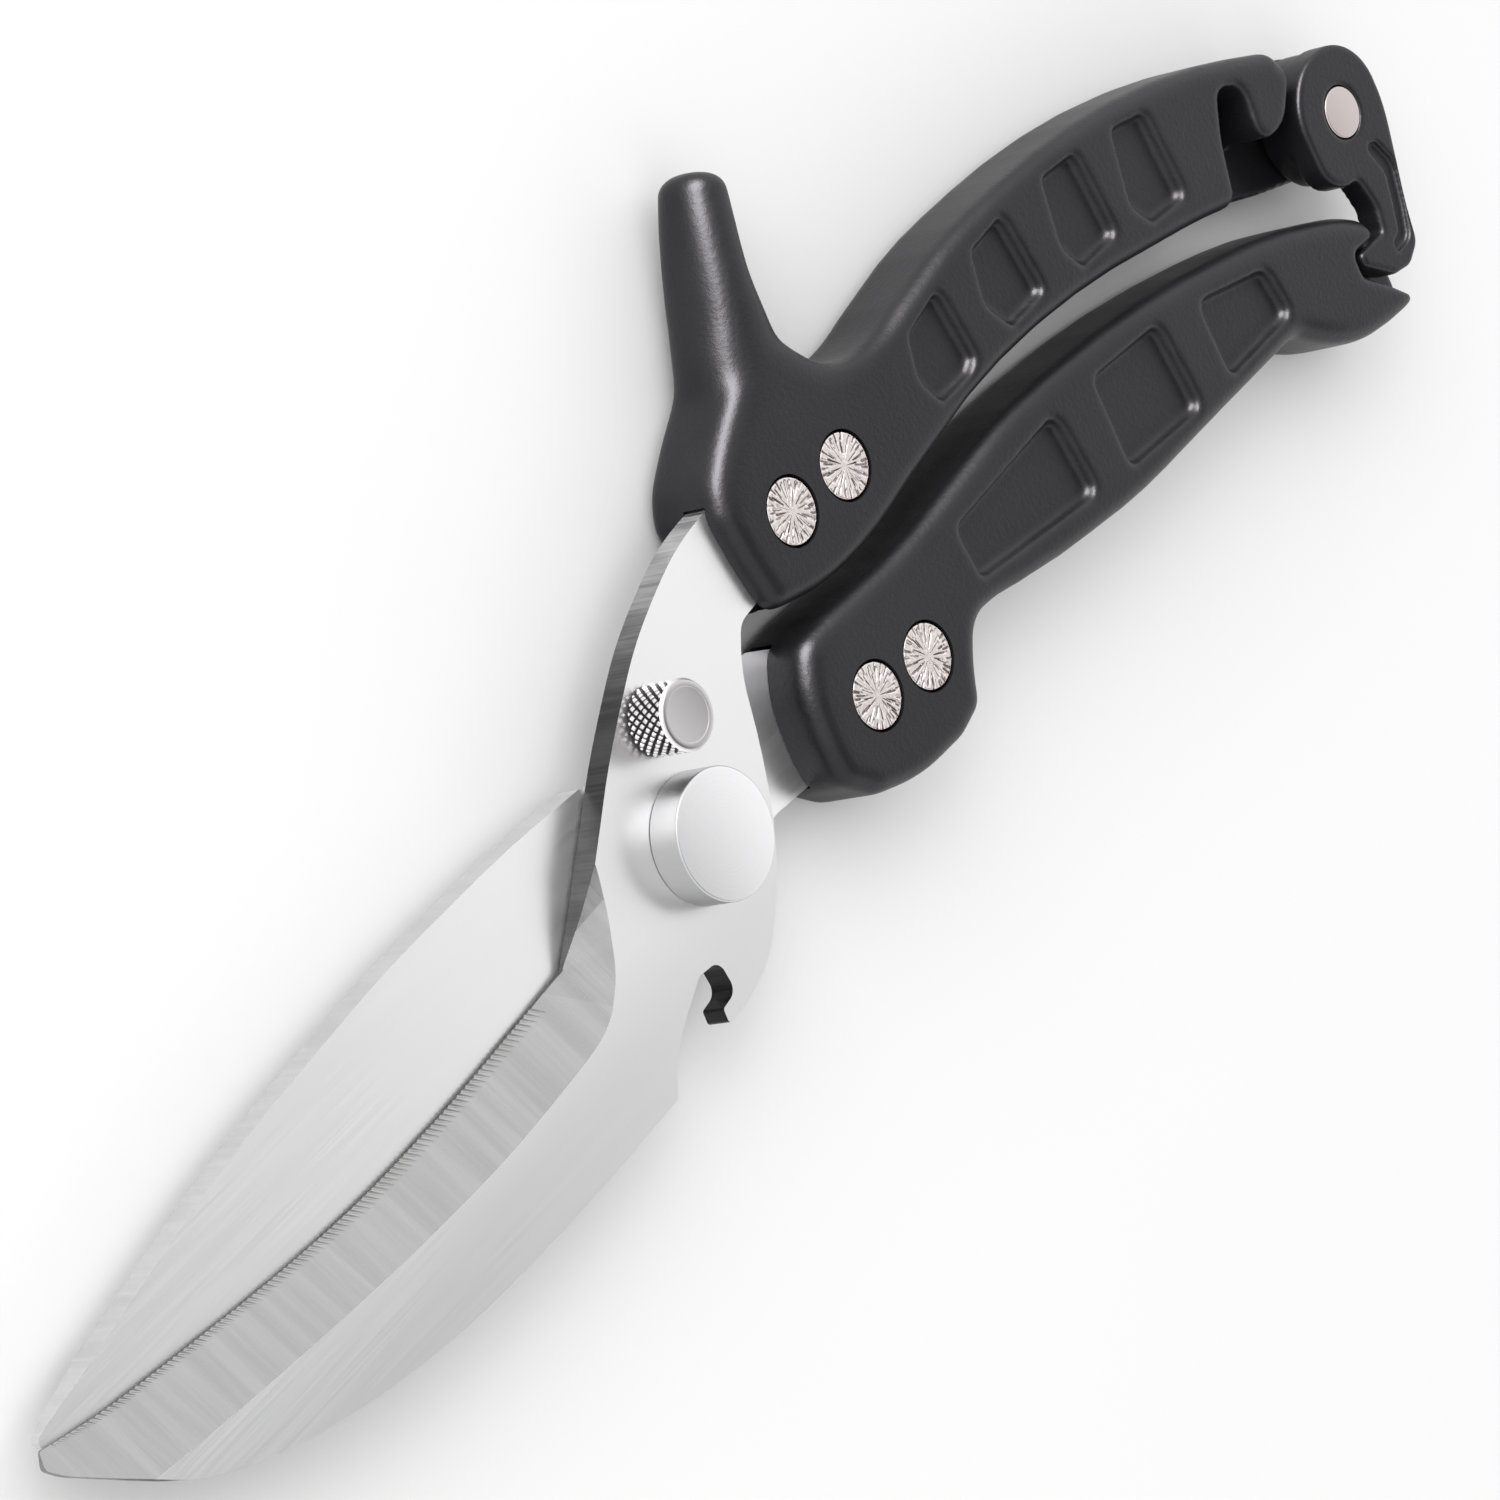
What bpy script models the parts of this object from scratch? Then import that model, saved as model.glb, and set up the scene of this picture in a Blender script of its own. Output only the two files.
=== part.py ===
"""Spring-opened poultry shears with a bottle-opener notch, a pull knob and a handle latch.

The shears lie flat and closed. +Z is the pivot axis and points out of the knob side, z = 0 is the rear
face of the handles, +X runs from the pivot to the handle ends and +Y is the side of the horn.
Lengths below are in millimetres; MM turns them into Blender's metres.
"""

from math import asin, cos, degrees, pi, radians, sin, tan

import bmesh
import bpy
from mathutils import Vector

MM = 0.001
GAP = 0.3

# Heights of the layers.
HANDLE_T = 12.7
BLADE_T = 3.4
REAR_BLADE_Z = 2.8
FRONT_BLADE_Z = REAR_BLADE_Z + BLADE_T + GAP
BLADE_TOP = FRONT_BLADE_Z + BLADE_T
HANDLE_ROUND = 2.2

# Pivot.
PIVOT_R = 4.0
PIVOT_FLAT = 3.3
HEAD_R = 7.5
HEAD_T = 2.5
CAP_R = 7.75
CAP_WALL = 0.8
CAP_TOP = 14.3
CAP_ROOF = 1.0
THREAD_R = 2.5
NUT_AF = 8.0
SPRING_R = 6.2
SPRING_WIRE = 0.9
SPRING_TURNS = 2
SPRING_PITCH = 1.0
SPRING_LEG_ANGLE = 250.0
SPRING_LEG_AT = (SPRING_R * cos(radians(SPRING_LEG_ANGLE)), SPRING_R * sin(radians(SPRING_LEG_ANGLE)))

# Pull knob and its locking pin, on a circle round the pivot.
KNOB_AT = (1.55, 14.4)
KNOB_R = 4.2
KNOB_TOP = 15.8
SLEEVE_R = 2.9
LOCK_PIN_R = 1.5
LOCK_TRACK_R = 12.4
OPEN_ANGLE = 35.0

# Rivets.
RIVETS = {
    "rivet_upper_1": (32.9, 24.0),
    "rivet_upper_2": (43.7, 24.2),
    "rivet_lower_1": (32.3, -0.1),
    "rivet_lower_2": (42.4, -0.5),
}
RIVET_HEAD_R = 4.0
RIVET_HEAD_T = 1.5
RIVET_SHANK_R = 2.5

# Latch at the handle ends.
LATCH_AT = (149.7, 18.3)
LATCH_R = 8.3
LATCH_PIN_R = 3.3
LATCH_ARM_Z = 9.0
LUG_TOP = 4.4
LATCH_Z = LUG_TOP + 1.0
LIP_FLOOR = LATCH_ARM_Z - 0.4

POCKET_DEPTH = 1.6


# ---------------------------------------------------------------- outlines

def outline(points, most_turn=14.0):
    """A closed outline from corner points (x, y, radius); without a radius the corner is as round as it fits."""
    corners = [Vector(p[:2]) for p in points]
    count = len(corners)
    backs = [corners[i - 1] - corners[i] for i in range(count)]
    aheads = [corners[(i + 1) % count] - corners[i] for i in range(count)]
    turns = [pi - backs[i].angle(aheads[i]) for i in range(count)]
    reaches = []
    for i, point in enumerate(points):
        room = min(backs[i].length, aheads[i].length)
        reaches.append(min(point[2] * tan(turns[i] / 2), room) if len(point) > 2 else 0.48 * room)
    for i in range(count):
        crowding = (reaches[i - 1] + reaches[i]) / (0.98 * backs[i].length)
        if crowding > 1:
            reaches[i - 1] /= crowding
            reaches[i] /= crowding

    result = []
    for corner, back, ahead, turn, reach in zip(corners, backs, aheads, turns, reaches):
        if turn < radians(1.0):
            result.append(corner)
            continue
        start = corner + back.normalized() * reach
        bisector = (back.normalized() + ahead.normalized()).normalized()
        centre = corner + bisector * (reach / sin(turn / 2))
        steps = max(1, round(turn / radians(most_turn) + 0.4))
        side = 1.0 if back.x * ahead.y - back.y * ahead.x < 0 else -1.0
        first = start - centre
        for k in range(steps + 1):
            angle = side * turn * k / steps
            result.append(centre + Vector((
                first.x * cos(angle) - first.y * sin(angle),
                first.x * sin(angle) + first.y * cos(angle),
            )))
    return result


def inset(points, distance):
    """The outline moved inwards, for a counter-clockwise outline."""
    count = len(points)
    moved = []
    for i, point in enumerate(points):
        before = (point - points[i - 1]).normalized()
        after = (points[(i + 1) % count] - point).normalized()
        normal = Vector((-before.y - after.y, before.x + after.x)).normalized()
        shrink = max(0.5, normal.dot(Vector((-before.y, before.x))))
        moved.append(point + normal * (distance / shrink))
    return moved


def counter_clockwise(points):
    area = sum(a.x * b.y - b.x * a.y for a, b in zip(points, points[1:] + points[:1]))
    return points if area > 0 else points[::-1]


def through(points, steps=4):
    """A smooth open chain through points with any number of coordinates (Catmull-Rom)."""
    ends = [Vector(p) for p in points]
    ends = [2 * ends[0] - ends[1], *ends, 2 * ends[-1] - ends[-2]]
    result = []
    for p0, p1, p2, p3 in zip(ends, ends[1:], ends[2:], ends[3:]):
        for k in range(steps):
            t = k / steps
            result.append(0.5 * (
                2 * p1 + (p2 - p0) * t + (2 * p0 - 5 * p1 + 4 * p2 - p3) * t ** 2
                + (3 * p1 - p0 - 3 * p2 + p3) * t ** 3
            ))
    return [*result, ends[-2]]


def circle(centre, radius, steps=32):
    turns = (2 * pi * k / steps for k in range(steps))
    return [Vector((centre[0] + radius * cos(a), centre[1] + radius * sin(a))) for a in turns]


# ---------------------------------------------------------------- objects

def collection_named(name, hidden):
    made = bpy.data.collections.new(name)
    bpy.context.scene.collection.children.link(made)
    made.hide_render = hidden
    return made


def material_named(name, colour, metallic, roughness):
    made = bpy.data.materials.new(name)
    made.use_nodes = True
    shader = made.node_tree.nodes["Principled BSDF"]
    shader.inputs["Base Color"].default_value = (*colour, 1.0)
    shader.inputs["Metallic"].default_value = metallic
    shader.inputs["Roughness"].default_value = roughness
    return made


def new_object(name, mesh_or_curve, material=None):
    """A part when it has a material, otherwise a cutter."""
    made = bpy.data.objects.new(name, mesh_or_curve)
    if material is None:
        CUTTERS.objects.link(made)
        made.hide_render = True
        made.display_type = "WIRE"
    else:
        PARTS.objects.link(made)
        made.data.materials.append(material)
    return made


def mesh_object(name, vertices, faces, material=None):
    mesh = bpy.data.meshes.new(name)
    mesh.from_pydata([tuple(c * MM for c in v) for v in vertices], [], faces)
    work = bmesh.new()
    work.from_mesh(mesh)
    bmesh.ops.remove_doubles(work, verts=work.verts, dist=1e-6)
    bmesh.ops.recalc_face_normals(work, faces=work.faces)
    work.to_mesh(mesh)
    work.free()
    return new_object(name, mesh, material)


def stacked(name, rings, material=None):
    """A solid through rings of the same length, closed with a flat cap at each end."""
    size = len(rings[0])
    vertices = [point for ring in rings for point in ring]
    faces = [tuple(range(size))[::-1], tuple(range(len(vertices) - size, len(vertices)))]
    for level in range(len(rings) - 1):
        low = level * size
        for i in range(size):
            j = (i + 1) % size
            faces.append((low + i, low + j, low + size + j, low + size + i))
    return mesh_object(name, vertices, faces, material)


def slab(name, points, z_low, z_high, material=None, low_round=0.0, high_round=0.0, steps=3):
    """An extruded outline whose lower and upper edges can be rounded."""
    points = counter_clockwise(points)
    levels = []
    for k in range(steps + 1):
        angle = pi / 2 * k / steps
        levels.append((low_round * (1 - sin(angle)), z_low + low_round * (1 - cos(angle))))
        if not low_round:
            break
    for k in range(steps + 1):
        angle = pi / 2 * k / steps
        levels.append((high_round * (1 - cos(angle)), z_high - high_round * (1 - sin(angle))))
        if not high_round:
            break
    rings = [[(p.x, p.y, z) for p in (inset(points, d) if d else points)] for d, z in levels]
    return stacked(name, rings, material)


def turned(name, profile, centre=(0.0, 0.0), material=None, steps=48):
    """A solid of revolution round +Z: the profile is (radius, z) and the Screw modifier turns it."""
    mesh = bpy.data.meshes.new(name)
    closed = profile[0][0] > 0
    area = sum(a[0] * b[1] - b[0] * a[1] for a, b in zip(profile, profile[1:] + profile[:1]))
    if area > 0:
        profile = profile[::-1]
    edges = [(i, i + 1) for i in range(len(profile) - 1)]
    if closed:
        edges.append((len(profile) - 1, 0))
    mesh.from_pydata([(r * MM, 0.0, z * MM) for r, z in profile], edges, [])
    made = new_object(name, mesh, material)
    made.location = (centre[0] * MM, centre[1] * MM, 0.0)
    screw = made.modifiers.new("Turn", "SCREW")
    screw.axis = "Z"
    screw.angle = 2 * pi
    screw.steps = steps
    screw.render_steps = steps
    screw.use_merge_vertices = True
    screw.merge_threshold = 0.00001
    screw.use_smooth_shade = False
    return made


def wire(name, points, radius, material=None, sides=8, radii=None):
    """A round bar along a path; radii scales it point by point."""
    curve = bpy.data.curves.new(name, "CURVE")
    curve.dimensions = "3D"
    curve.twist_mode = "MINIMUM"
    spline = curve.splines.new("POLY")
    spline.points.add(len(points) - 1)
    for i, (point, end) in enumerate(zip(spline.points, points)):
        point.co = (end[0] * MM, end[1] * MM, end[2] * MM, 1.0)
        point.radius = radii[i] if radii else 1.0
    curve.bevel_depth = radius * MM
    curve.bevel_resolution = (sides - 4) // 2
    curve.use_fill_caps = True
    source = bpy.data.objects.new(name + "_path", curve)
    CUTTERS.objects.link(source)
    bpy.context.view_layer.update()
    mesh = bpy.data.meshes.new_from_object(source.evaluated_get(bpy.context.evaluated_depsgraph_get()))
    bpy.data.objects.remove(source)
    work = bmesh.new()
    work.from_mesh(mesh)
    bmesh.ops.remove_doubles(work, verts=work.verts, dist=1e-6)
    bmesh.ops.recalc_face_normals(work, faces=work.faces)
    work.to_mesh(mesh)
    work.free()
    mesh.name = name
    return new_object(name, mesh, material)


def boolean(target, tool, operation="DIFFERENCE"):
    modifier = target.modifiers.new(tool.name, "BOOLEAN")
    modifier.operation = operation
    modifier.object = tool
    modifier.solver = "EXACT"


def drill(target, name, centre, radius, z_low, z_high, steps=32):
    boolean(target, slab(name, circle(centre, radius, steps), z_low, z_high))


def turning(name, centre, members):
    """An empty on a joint axis that carries the parts that move with it."""
    axis = bpy.data.objects.new(name, None)
    axis.location = (centre[0] * MM, centre[1] * MM, 0.0)
    axis.empty_display_size = 0.01
    PARTS.objects.link(axis)
    bpy.context.view_layer.update()
    for member in members:
        bpy.data.objects[member].parent = axis
        bpy.data.objects[member].matrix_parent_inverse = axis.matrix_world.inverted()


def arc(radius, start, end, steps):
    """Points on a circle round the pivot, angles in degrees."""
    turns = (radians(start + (end - start) * k / steps) for k in range(steps + 1))
    return [(radius * cos(a), radius * sin(a), 0.0) for a in turns]


# ---------------------------------------------------------------- blades

def grind(target, name, stations, mating_z, outward, land=0.4):
    """Cuts a one-sided grind. A station is (edge x, edge y, border x, border y).

    The ground surface runs from land above the mating face at the cutting edge to the full thickness at
    the border on the outer face; mating_z is the face that slides on the other blade.
    """
    rings = []
    for ex, ey, bx, by in (tuple(s) for s in through(stations, 4)):
        rise = (BLADE_T - land) / 4
        ring = []
        for share, lift in ((-1.5, 0), (1.25, 0), (1.25, 4), (-1.5, 8)):
            depth = land + 4 * rise * share + lift
            ring.append((ex + (bx - ex) * share, ey + (by - ey) * share, mating_z + outward * depth))
        rings.append(ring)
    boolean(target, stacked(name, rings))


def front_blade():
    points = [
        (-15.8, 5.5), (-8.3, 12.8), (-2.6, 17.5), (3.9, 22.4), (9.8, 25.6), (16.4, 28.5), (24.0, 30.0),
        (40.0, 29.6), (50.0, 28.6, 4), (50.0, 19.4, 4), (30.0, 18.2, 6), (20.4, 16.6, 3), (17.1, 11.8),
        (14.9, 3.9), (11.6, -4.5), (7.4, -11.1), (1.6, -16.8), (-4.0, -18.9), (-8.4, -19.6, 0.5),
        (-8.2, -17.6, 0.4), (-5.3, -17.0, 1.6), (-5.6, -12.8, 1.6), (-9.2, -12.7, 1.0), (-14.5, -15.8),
        (-18.4, -19.0), (-20.2, -22.1, 0.6), (-36.0, -24.0), (-50.0, -25.1), (-66.6, -25.5),
        (-82.9, -23.7), (-94.6, -20.9), (-102.9, -17.5), (-107.5, -14.3), (-115.6, -8.4),
        (-117.2, -6.6, 0.8), (-116.3, -4.8, 0.4), (-107.0, -6.1), (-91.8, -7.0), (-78.0, -7.5),
        (-64.3, -7.4), (-49.4, -6.1), (-36.0, -4.3), (-24.6, -2.5, 0.3),
    ]
    made = slab("front_blade", outline(points), FRONT_BLADE_Z, BLADE_TOP, STEEL)
    grind(made, "front_grind", [
        (-25.6, 3.4, -15.4, 6.8), (-25.2, 0.4, -16.2, 3.6), (-24.7, -2.2, -18.2, -1.8),
        (-26.6, -2.9, -21.0, -6.8), (-31.0, -3.6, -26.0, -10.4), (-38.0, -4.6, -36.5, -12.4),
        (-49.4, -6.1, -49.0, -13.9), (-64.3, -7.4, -64.5, -14.7), (-78.0, -7.5, -78.5, -14.9),
        (-91.8, -7.0, -92.5, -14.8), (-107.0, -6.1, -108.0, -14.3), (-125.0, -4.6, -126.0, -13.0),
    ], FRONT_BLADE_Z, 1)
    drill(made, "front_pivot_hole", (0, 0), PIVOT_R + GAP, FRONT_BLADE_Z - 1, BLADE_TOP + 1, 48)
    drill(made, "sleeve_hole", KNOB_AT, SLEEVE_R + GAP, FRONT_BLADE_Z - 1, BLADE_TOP + 1)
    drill(made, "spring_leg_hole", SPRING_LEG_AT, SPRING_WIRE / 2 + GAP, FRONT_BLADE_Z - 1, BLADE_TOP + 1, 16)
    for name in ("rivet_upper_1", "rivet_upper_2"):
        drill(made, name + "_tang", RIVETS[name], RIVET_SHANK_R + GAP, FRONT_BLADE_Z - 1, BLADE_TOP + 1)
    return made


def rear_blade():
    """Its upper side behind the knob is a track for the locking pin: one shoulder stops the blades when
    they are closed, the other when they are open."""
    knob_radius = Vector(KNOB_AT).length
    closed_at = degrees(Vector((1, 0)).angle(Vector(KNOB_AT)))
    half = degrees(asin((LOCK_PIN_R + GAP) / knob_radius))
    track = arc(LOCK_TRACK_R, closed_at - half, closed_at + half + OPEN_ANGLE, 8)
    shoulder = Vector(track[0][:2])
    across = shoulder.normalized()
    points = [
        (22.6, 12.0, 2), (17.0, 12.6), (9.0, 13.0), tuple(shoulder + across * 1.3) + (0.6,),
        *((x, y, 0.1) for x, y, _ in track), (-9.6, 12.4, 0.3),
        (-23.0, 12.4), (-33.0, 11.7), (-46.5, 10.7), (-60.4, 8.6), (-74.6, 6.4), (-90.9, 2.5),
        (-105.2, -1.4), (-112.6, -3.1), (-115.6, -4.0, 0.8), (-115.4, -5.8, 0.6), (-103.0, -7.9),
        (-90.0, -9.2), (-75.0, -10.0), (-60.0, -9.9), (-45.0, -9.2), (-30.0, -8.2), (-20.5, -7.2, 0.3),
        (-18.0, -11.0, 3), (-9.0, -12.0), (1.0, -12.2), (9.0, -8.6), (15.0, -5.5, 6), (30.0, -5.6, 6),
        (49.0, -4.6, 4), (49.0, 4.6, 4), (31.0, 8.4, 8),
    ]
    made = slab("rear_blade", outline(points), REAR_BLADE_Z, REAR_BLADE_Z + BLADE_T, STEEL)
    grind(made, "rear_grind", [
        (-19.0, -6.0, -15.0, 1.5), (-22.0, -7.2, -19.0, 0.2), (-30.0, -8.2, -28.0, -0.6),
        (-45.0, -9.2, -44.5, -1.4), (-60.0, -9.9, -60.0, -2.0), (-75.0, -10.0, -75.5, -2.4),
        (-90.0, -9.2, -91.0, -2.2), (-103.0, -7.9, -105.0, -1.2), (-124.0, -4.6, -127.0, 3.0),
    ], REAR_BLADE_Z + BLADE_T, -1)
    key = outline([
        (-PIVOT_FLAT - GAP, -4, 0.5), (PIVOT_FLAT + GAP, -4, 0.5),
        (PIVOT_FLAT + GAP, 4, 0.5), (-PIVOT_FLAT - GAP, 4, 0.5),
    ])
    boolean(made, slab("rear_pivot_key", key, REAR_BLADE_Z - 1, REAR_BLADE_Z + BLADE_T + 1))
    for name in ("rivet_lower_1", "rivet_lower_2"):
        drill(made, name + "_tang", RIVETS[name], RIVET_SHANK_R + GAP, REAR_BLADE_Z - 1, 7)
    return made


# ---------------------------------------------------------------- handles

def pockets(target, name, shapes):
    """Shallow grip pockets, the same in the front and the rear face."""
    for i, points in enumerate(shapes):
        shape = outline(points)
        boolean(target, slab(f"{name}_front_{i}", shape, HANDLE_T - POCKET_DEPTH, HANDLE_T + 1))
        boolean(target, slab(f"{name}_rear_{i}", shape, -1, POCKET_DEPTH))


def rivet_seats(target, name):
    drill(target, name + "_bore", RIVETS[name], RIVET_SHANK_R + GAP, -1, HANDLE_T + 1, 24)
    drill(target, name + "_front_seat", RIVETS[name], RIVET_HEAD_R + GAP, HANDLE_T - RIVET_HEAD_T - GAP, HANDLE_T + 1)
    drill(target, name + "_rear_seat", RIVETS[name], RIVET_HEAD_R + GAP, -1, RIVET_HEAD_T + GAP)


def upper_handle():
    points = [
        (24.2, 15.6, 3), (31.8, 14.2), (38.0, 14.1), (45.5, 15.1), (60.4, 19.0), (75.9, 21.6),
        (93.0, 21.8), (108.5, 20.3), (126.0, 17.6), (138.0, 13.8), (157.8, 9.6, 8.0), (157.8, 26.4, 8.0),
        (144.6, 26.6, 1.5), (142.8, 30.4, 2.4), (130.2, 34.9), (113.8, 38.2), (97.7, 39.3),
        (79.0, 38.3), (69.0, 36.4), (59.3, 33.7), (53.0, 33.4), (48.2, 36.0), (44.6, 41.0, 3),
        (36.6, 41.6, 4), (29.4, 37.2), (24.0, 32.4), (22.6, 28.6, 4), (23.0, 22.0),
    ]
    made = slab("upper_handle", outline(points), 0, HANDLE_T, GRIP, HANDLE_ROUND, HANDLE_ROUND)

    spine = through([
        (38.2, 36.5), (40.2, 41.0), (41.9, 45.6), (43.0, 49.6), (44.3, 53.2), (45.4, 56.4), (46.5, 58.8),
    ], 2)
    radii = [6.3, 6.3, 6.2, 5.8, 5.3, 4.9, 4.6, 4.35, 4.15, 4.0, 3.9, 3.8, 3.7]
    end = spine[-1]
    ahead = (spine[-1] - spine[-2]).normalized()
    for k in range(1, 5):
        angle = pi / 2 * k / 4.4
        spine.append(end + ahead * 0.75 * radii[12] * sin(angle))
        radii.append(radii[12] * cos(angle))
    horn = [(p.x, p.y, HANDLE_T / 2) for p in spine]
    boolean(made, wire("horn", horn, 1.0, sides=20, radii=radii), "UNION")

    slot = outline([
        (10.0, 8.0), (25.6, 8.0), (26.4, 14.8, 3), (31.0, 17.8, 3), (50.4, 18.9, 4), (50.4, 29.0, 4),
        (40.0, 30.0), (24.0, 30.4), (16.2, 28.9), (9.0, 25.8),
    ])
    boolean(made, slab("upper_slot", slot, FRONT_BLADE_Z - GAP, BLADE_TOP + GAP))
    recess = outline([
        (124.3, 10.0, 1), (124.6, 18.4, 8), (127.0, 25.6, 8), (130.2, 31.4, 2), (134.6, 29.4, 1.4),
        (132.9, 21.8, 0.5), (139.0, 22.2, 3), (144.2, 27.6, 2), (146.0, 36.0), (170.0, 36.0), (170.0, 0.0),
        (124.3, 0.0, 1),
    ])
    boolean(made, slab("latch_recess", recess, LUG_TOP, HANDLE_T + 1))
    drill(made, "lug_bore", LATCH_AT, LATCH_PIN_R + GAP, -1, HANDLE_T + 1)
    pockets(made, "upper_pocket", [
        [(62.6, 31.6, 1), (70.2, 33.8, 1), (71.3, 24.0, 1.2), (69.3, 22.8, 1), (63.0, 22.3, 1), (61.0, 26.4, 2)],
        [(78.2, 34.8, 1), (85.6, 36.0, 1), (86.9, 25.0, 1.2), (79.2, 24.1, 1), (76.5, 28.5, 2)],
        [(94.6, 36.5, 1), (101.9, 36.4, 1), (102.6, 24.7, 1.2), (94.8, 24.2, 1), (92.7, 28.0, 2)],
        [(109.4, 35.8, 1), (116.2, 34.8, 1), (116.7, 22.8, 1.2), (109.4, 22.9, 1), (106.9, 26.4, 2)],
    ])
    for name in ("rivet_upper_1", "rivet_upper_2"):
        rivet_seats(made, name)
    return made


def lower_handle():
    points = [
        (21.5, -1.5), (22.0, -6.0, 4), (26.6, -10.0, 5), (34.4, -12.0), (43.0, -11.6, 6), (47.6, -10.0, 3),
        (49.8, -5.4), (53.0, -1.2), (58.0, -1.0), (66.7, -2.3), (78.6, -3.1), (89.2, -3.4),
        (102.1, -2.4), (113.1, -1.7), (125.4, -0.9, 4), (131.0, -5.0), (136.6, -7.6), (143.0, -8.2),
        (149.6, -7.8, 2.3), (150.0, 1.8, 4), (143.6, 7.0), (131.8, 11.2), (117.0, 14.0), (107.6, 15.2),
        (98.5, 16.1), (89.4, 16.4), (78.0, 16.4), (70.0, 15.8), (60.0, 14.0), (50.0, 12.2), (40.0, 11.4),
        (31.7, 11.4), (25.6, 10.6, 4), (22.4, 5.4),
    ]
    made = slab("lower_handle", outline(points), 0, HANDLE_T, GRIP, HANDLE_ROUND, HANDLE_ROUND)
    low = REAR_BLADE_Z - GAP
    high = REAR_BLADE_Z + BLADE_T + GAP
    slot = outline([
        (15.0, -5.9), (30.0, -5.9, 6), (49.4, -4.9, 4), (49.4, 4.9, 4), (31.1, 8.7, 8), (24.0, 12.0, 1),
        (24.0, 16.0), (15.0, 16.0),
    ])
    boolean(made, slab("lower_slot", slot, low, high))
    notch = outline([
        (170.0, 10.0), (145.5, 10.0), (145.5, 2.8, 0.6), (140.8, 2.8, 0.8), (140.4, -0.4, 1),
        (143.5, -2.8, 2), (149.6, -8.4), (152.0, -10.6), (170.0, -10.6),
    ])
    boolean(made, slab("latch_notch", notch, LIP_FLOOR, HANDLE_T + 1))
    pockets(made, "lower_pocket", [
        [(55.8, 9.4, 1.4), (79.4, 12.4, 2), (80.5, 0.8, 1.6), (56.2, 2.2, 1.4)],
        [(87.8, 12.7, 1.6), (102.4, 12.6, 1.6), (103.4, 0.4, 1.6), (87.4, 0.4, 1.6)],
        [(110.5, 11.5, 1.6), (124.4, 9.0, 1.8), (125.5, 2.0, 1.6), (110.4, 0.8, 1.6)],
    ])
    for name in ("rivet_lower_1", "rivet_lower_2"):
        rivet_seats(made, name)
    return made


def rivets():
    for name, centre in RIVETS.items():
        head = RIVET_HEAD_R
        top = HANDLE_T - 0.1
        turned(name, [
            (0, 0.1), (head - 0.4, 0.1), (head, 0.4), (head, RIVET_HEAD_T), (RIVET_SHANK_R, RIVET_HEAD_T),
            (RIVET_SHANK_R, HANDLE_T - RIVET_HEAD_T), (head, HANDLE_T - RIVET_HEAD_T), (head, top - 0.3),
            (head - 0.4, top), (0, top),
        ], centre, BRIGHT, 28)


# ---------------------------------------------------------------- pivot

def pivot():
    bolt = turned("pivot_bolt", [
        (0, 0), (HEAD_R - 0.5, 0), (HEAD_R, 0.5), (HEAD_R, HEAD_T), (PIVOT_R, HEAD_T), (PIVOT_R, 10.8),
        (THREAD_R, 10.8), (THREAD_R, 12.8), (THREAD_R - 0.3, 13.1), (0, 13.1),
    ], material=BRIGHT)
    for side in (-1, 1):
        flat = outline([
            (side * PIVOT_FLAT, -6, 0.1), (side * 9, -6, 0.1), (side * 9, 6, 0.1), (side * PIVOT_FLAT, 6, 0.1),
        ])
        boolean(bolt, slab(f"key_flat_{side + 1}", flat, HEAD_T, REAR_BLADE_Z + BLADE_T))
        drill(bolt, f"spanner_hole_{side + 1}", (0, side * 4.6), 0.9, -1, 1.2, 16)

    nut = slab("pivot_nut", circle((0, 0), NUT_AF / 2 / cos(pi / 6), 6), 11.0, 13.0, BRIGHT)
    drill(nut, "nut_bore", (0, 0), THREAD_R + GAP, 10, 14, 24)

    turned("cap_washer", [(PIVOT_R + 0.4, 10.2), (PIVOT_R + 1.4, 10.2), (PIVOT_R + 1.4, 10.7),
                          (PIVOT_R + 0.4, 10.7)], material=BRIGHT)

    inner = CAP_R - CAP_WALL
    low = BLADE_TOP + GAP
    cap = turned("pivot_cap", [
        (0, CAP_TOP), (CAP_R - 0.35, CAP_TOP), (CAP_R, CAP_TOP - 0.35), (CAP_R, low), (inner, low),
        (inner, CAP_TOP - CAP_ROOF), (0, CAP_TOP - CAP_ROOF),
    ], material=STEEL, steps=64)
    half = SPRING_WIRE / 2 + GAP
    inner_side = arc(SPRING_R - half, SPRING_LEG_ANGLE - 8, SPRING_LEG_ANGLE + OPEN_ANGLE + 8, 8)
    outer_side = arc(SPRING_R + half, SPRING_LEG_ANGLE + OPEN_ANGLE + 8, SPRING_LEG_ANGLE - 8, 8)
    leg_slot = [Vector((x, y)) for x, y, _ in inner_side + outer_side]
    boolean(cap, slab("leg_slot", leg_slot, 12, CAP_TOP - 0.3))


def opening_spring():
    """A torsion spring in the cap: one leg stands in the front blade and the other in the cap's slot."""
    start = 10.7
    steps = 24 * SPRING_TURNS
    helix = [
        (x, y, start + SPRING_PITCH * SPRING_TURNS * k / steps)
        for k, (x, y, _) in enumerate(arc(SPRING_R, SPRING_LEG_ANGLE, SPRING_LEG_ANGLE + 360 * SPRING_TURNS, steps))
    ]
    foot = (*SPRING_LEG_AT, 7.4)
    top = (helix[-1][0], helix[-1][1], CAP_TOP - 0.7)
    wire("opening_spring", [foot, (*SPRING_LEG_AT, start - 0.3), *helix[1:], top], SPRING_WIRE / 2, SPRING)


# ---------------------------------------------------------------- pull knob

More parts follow.
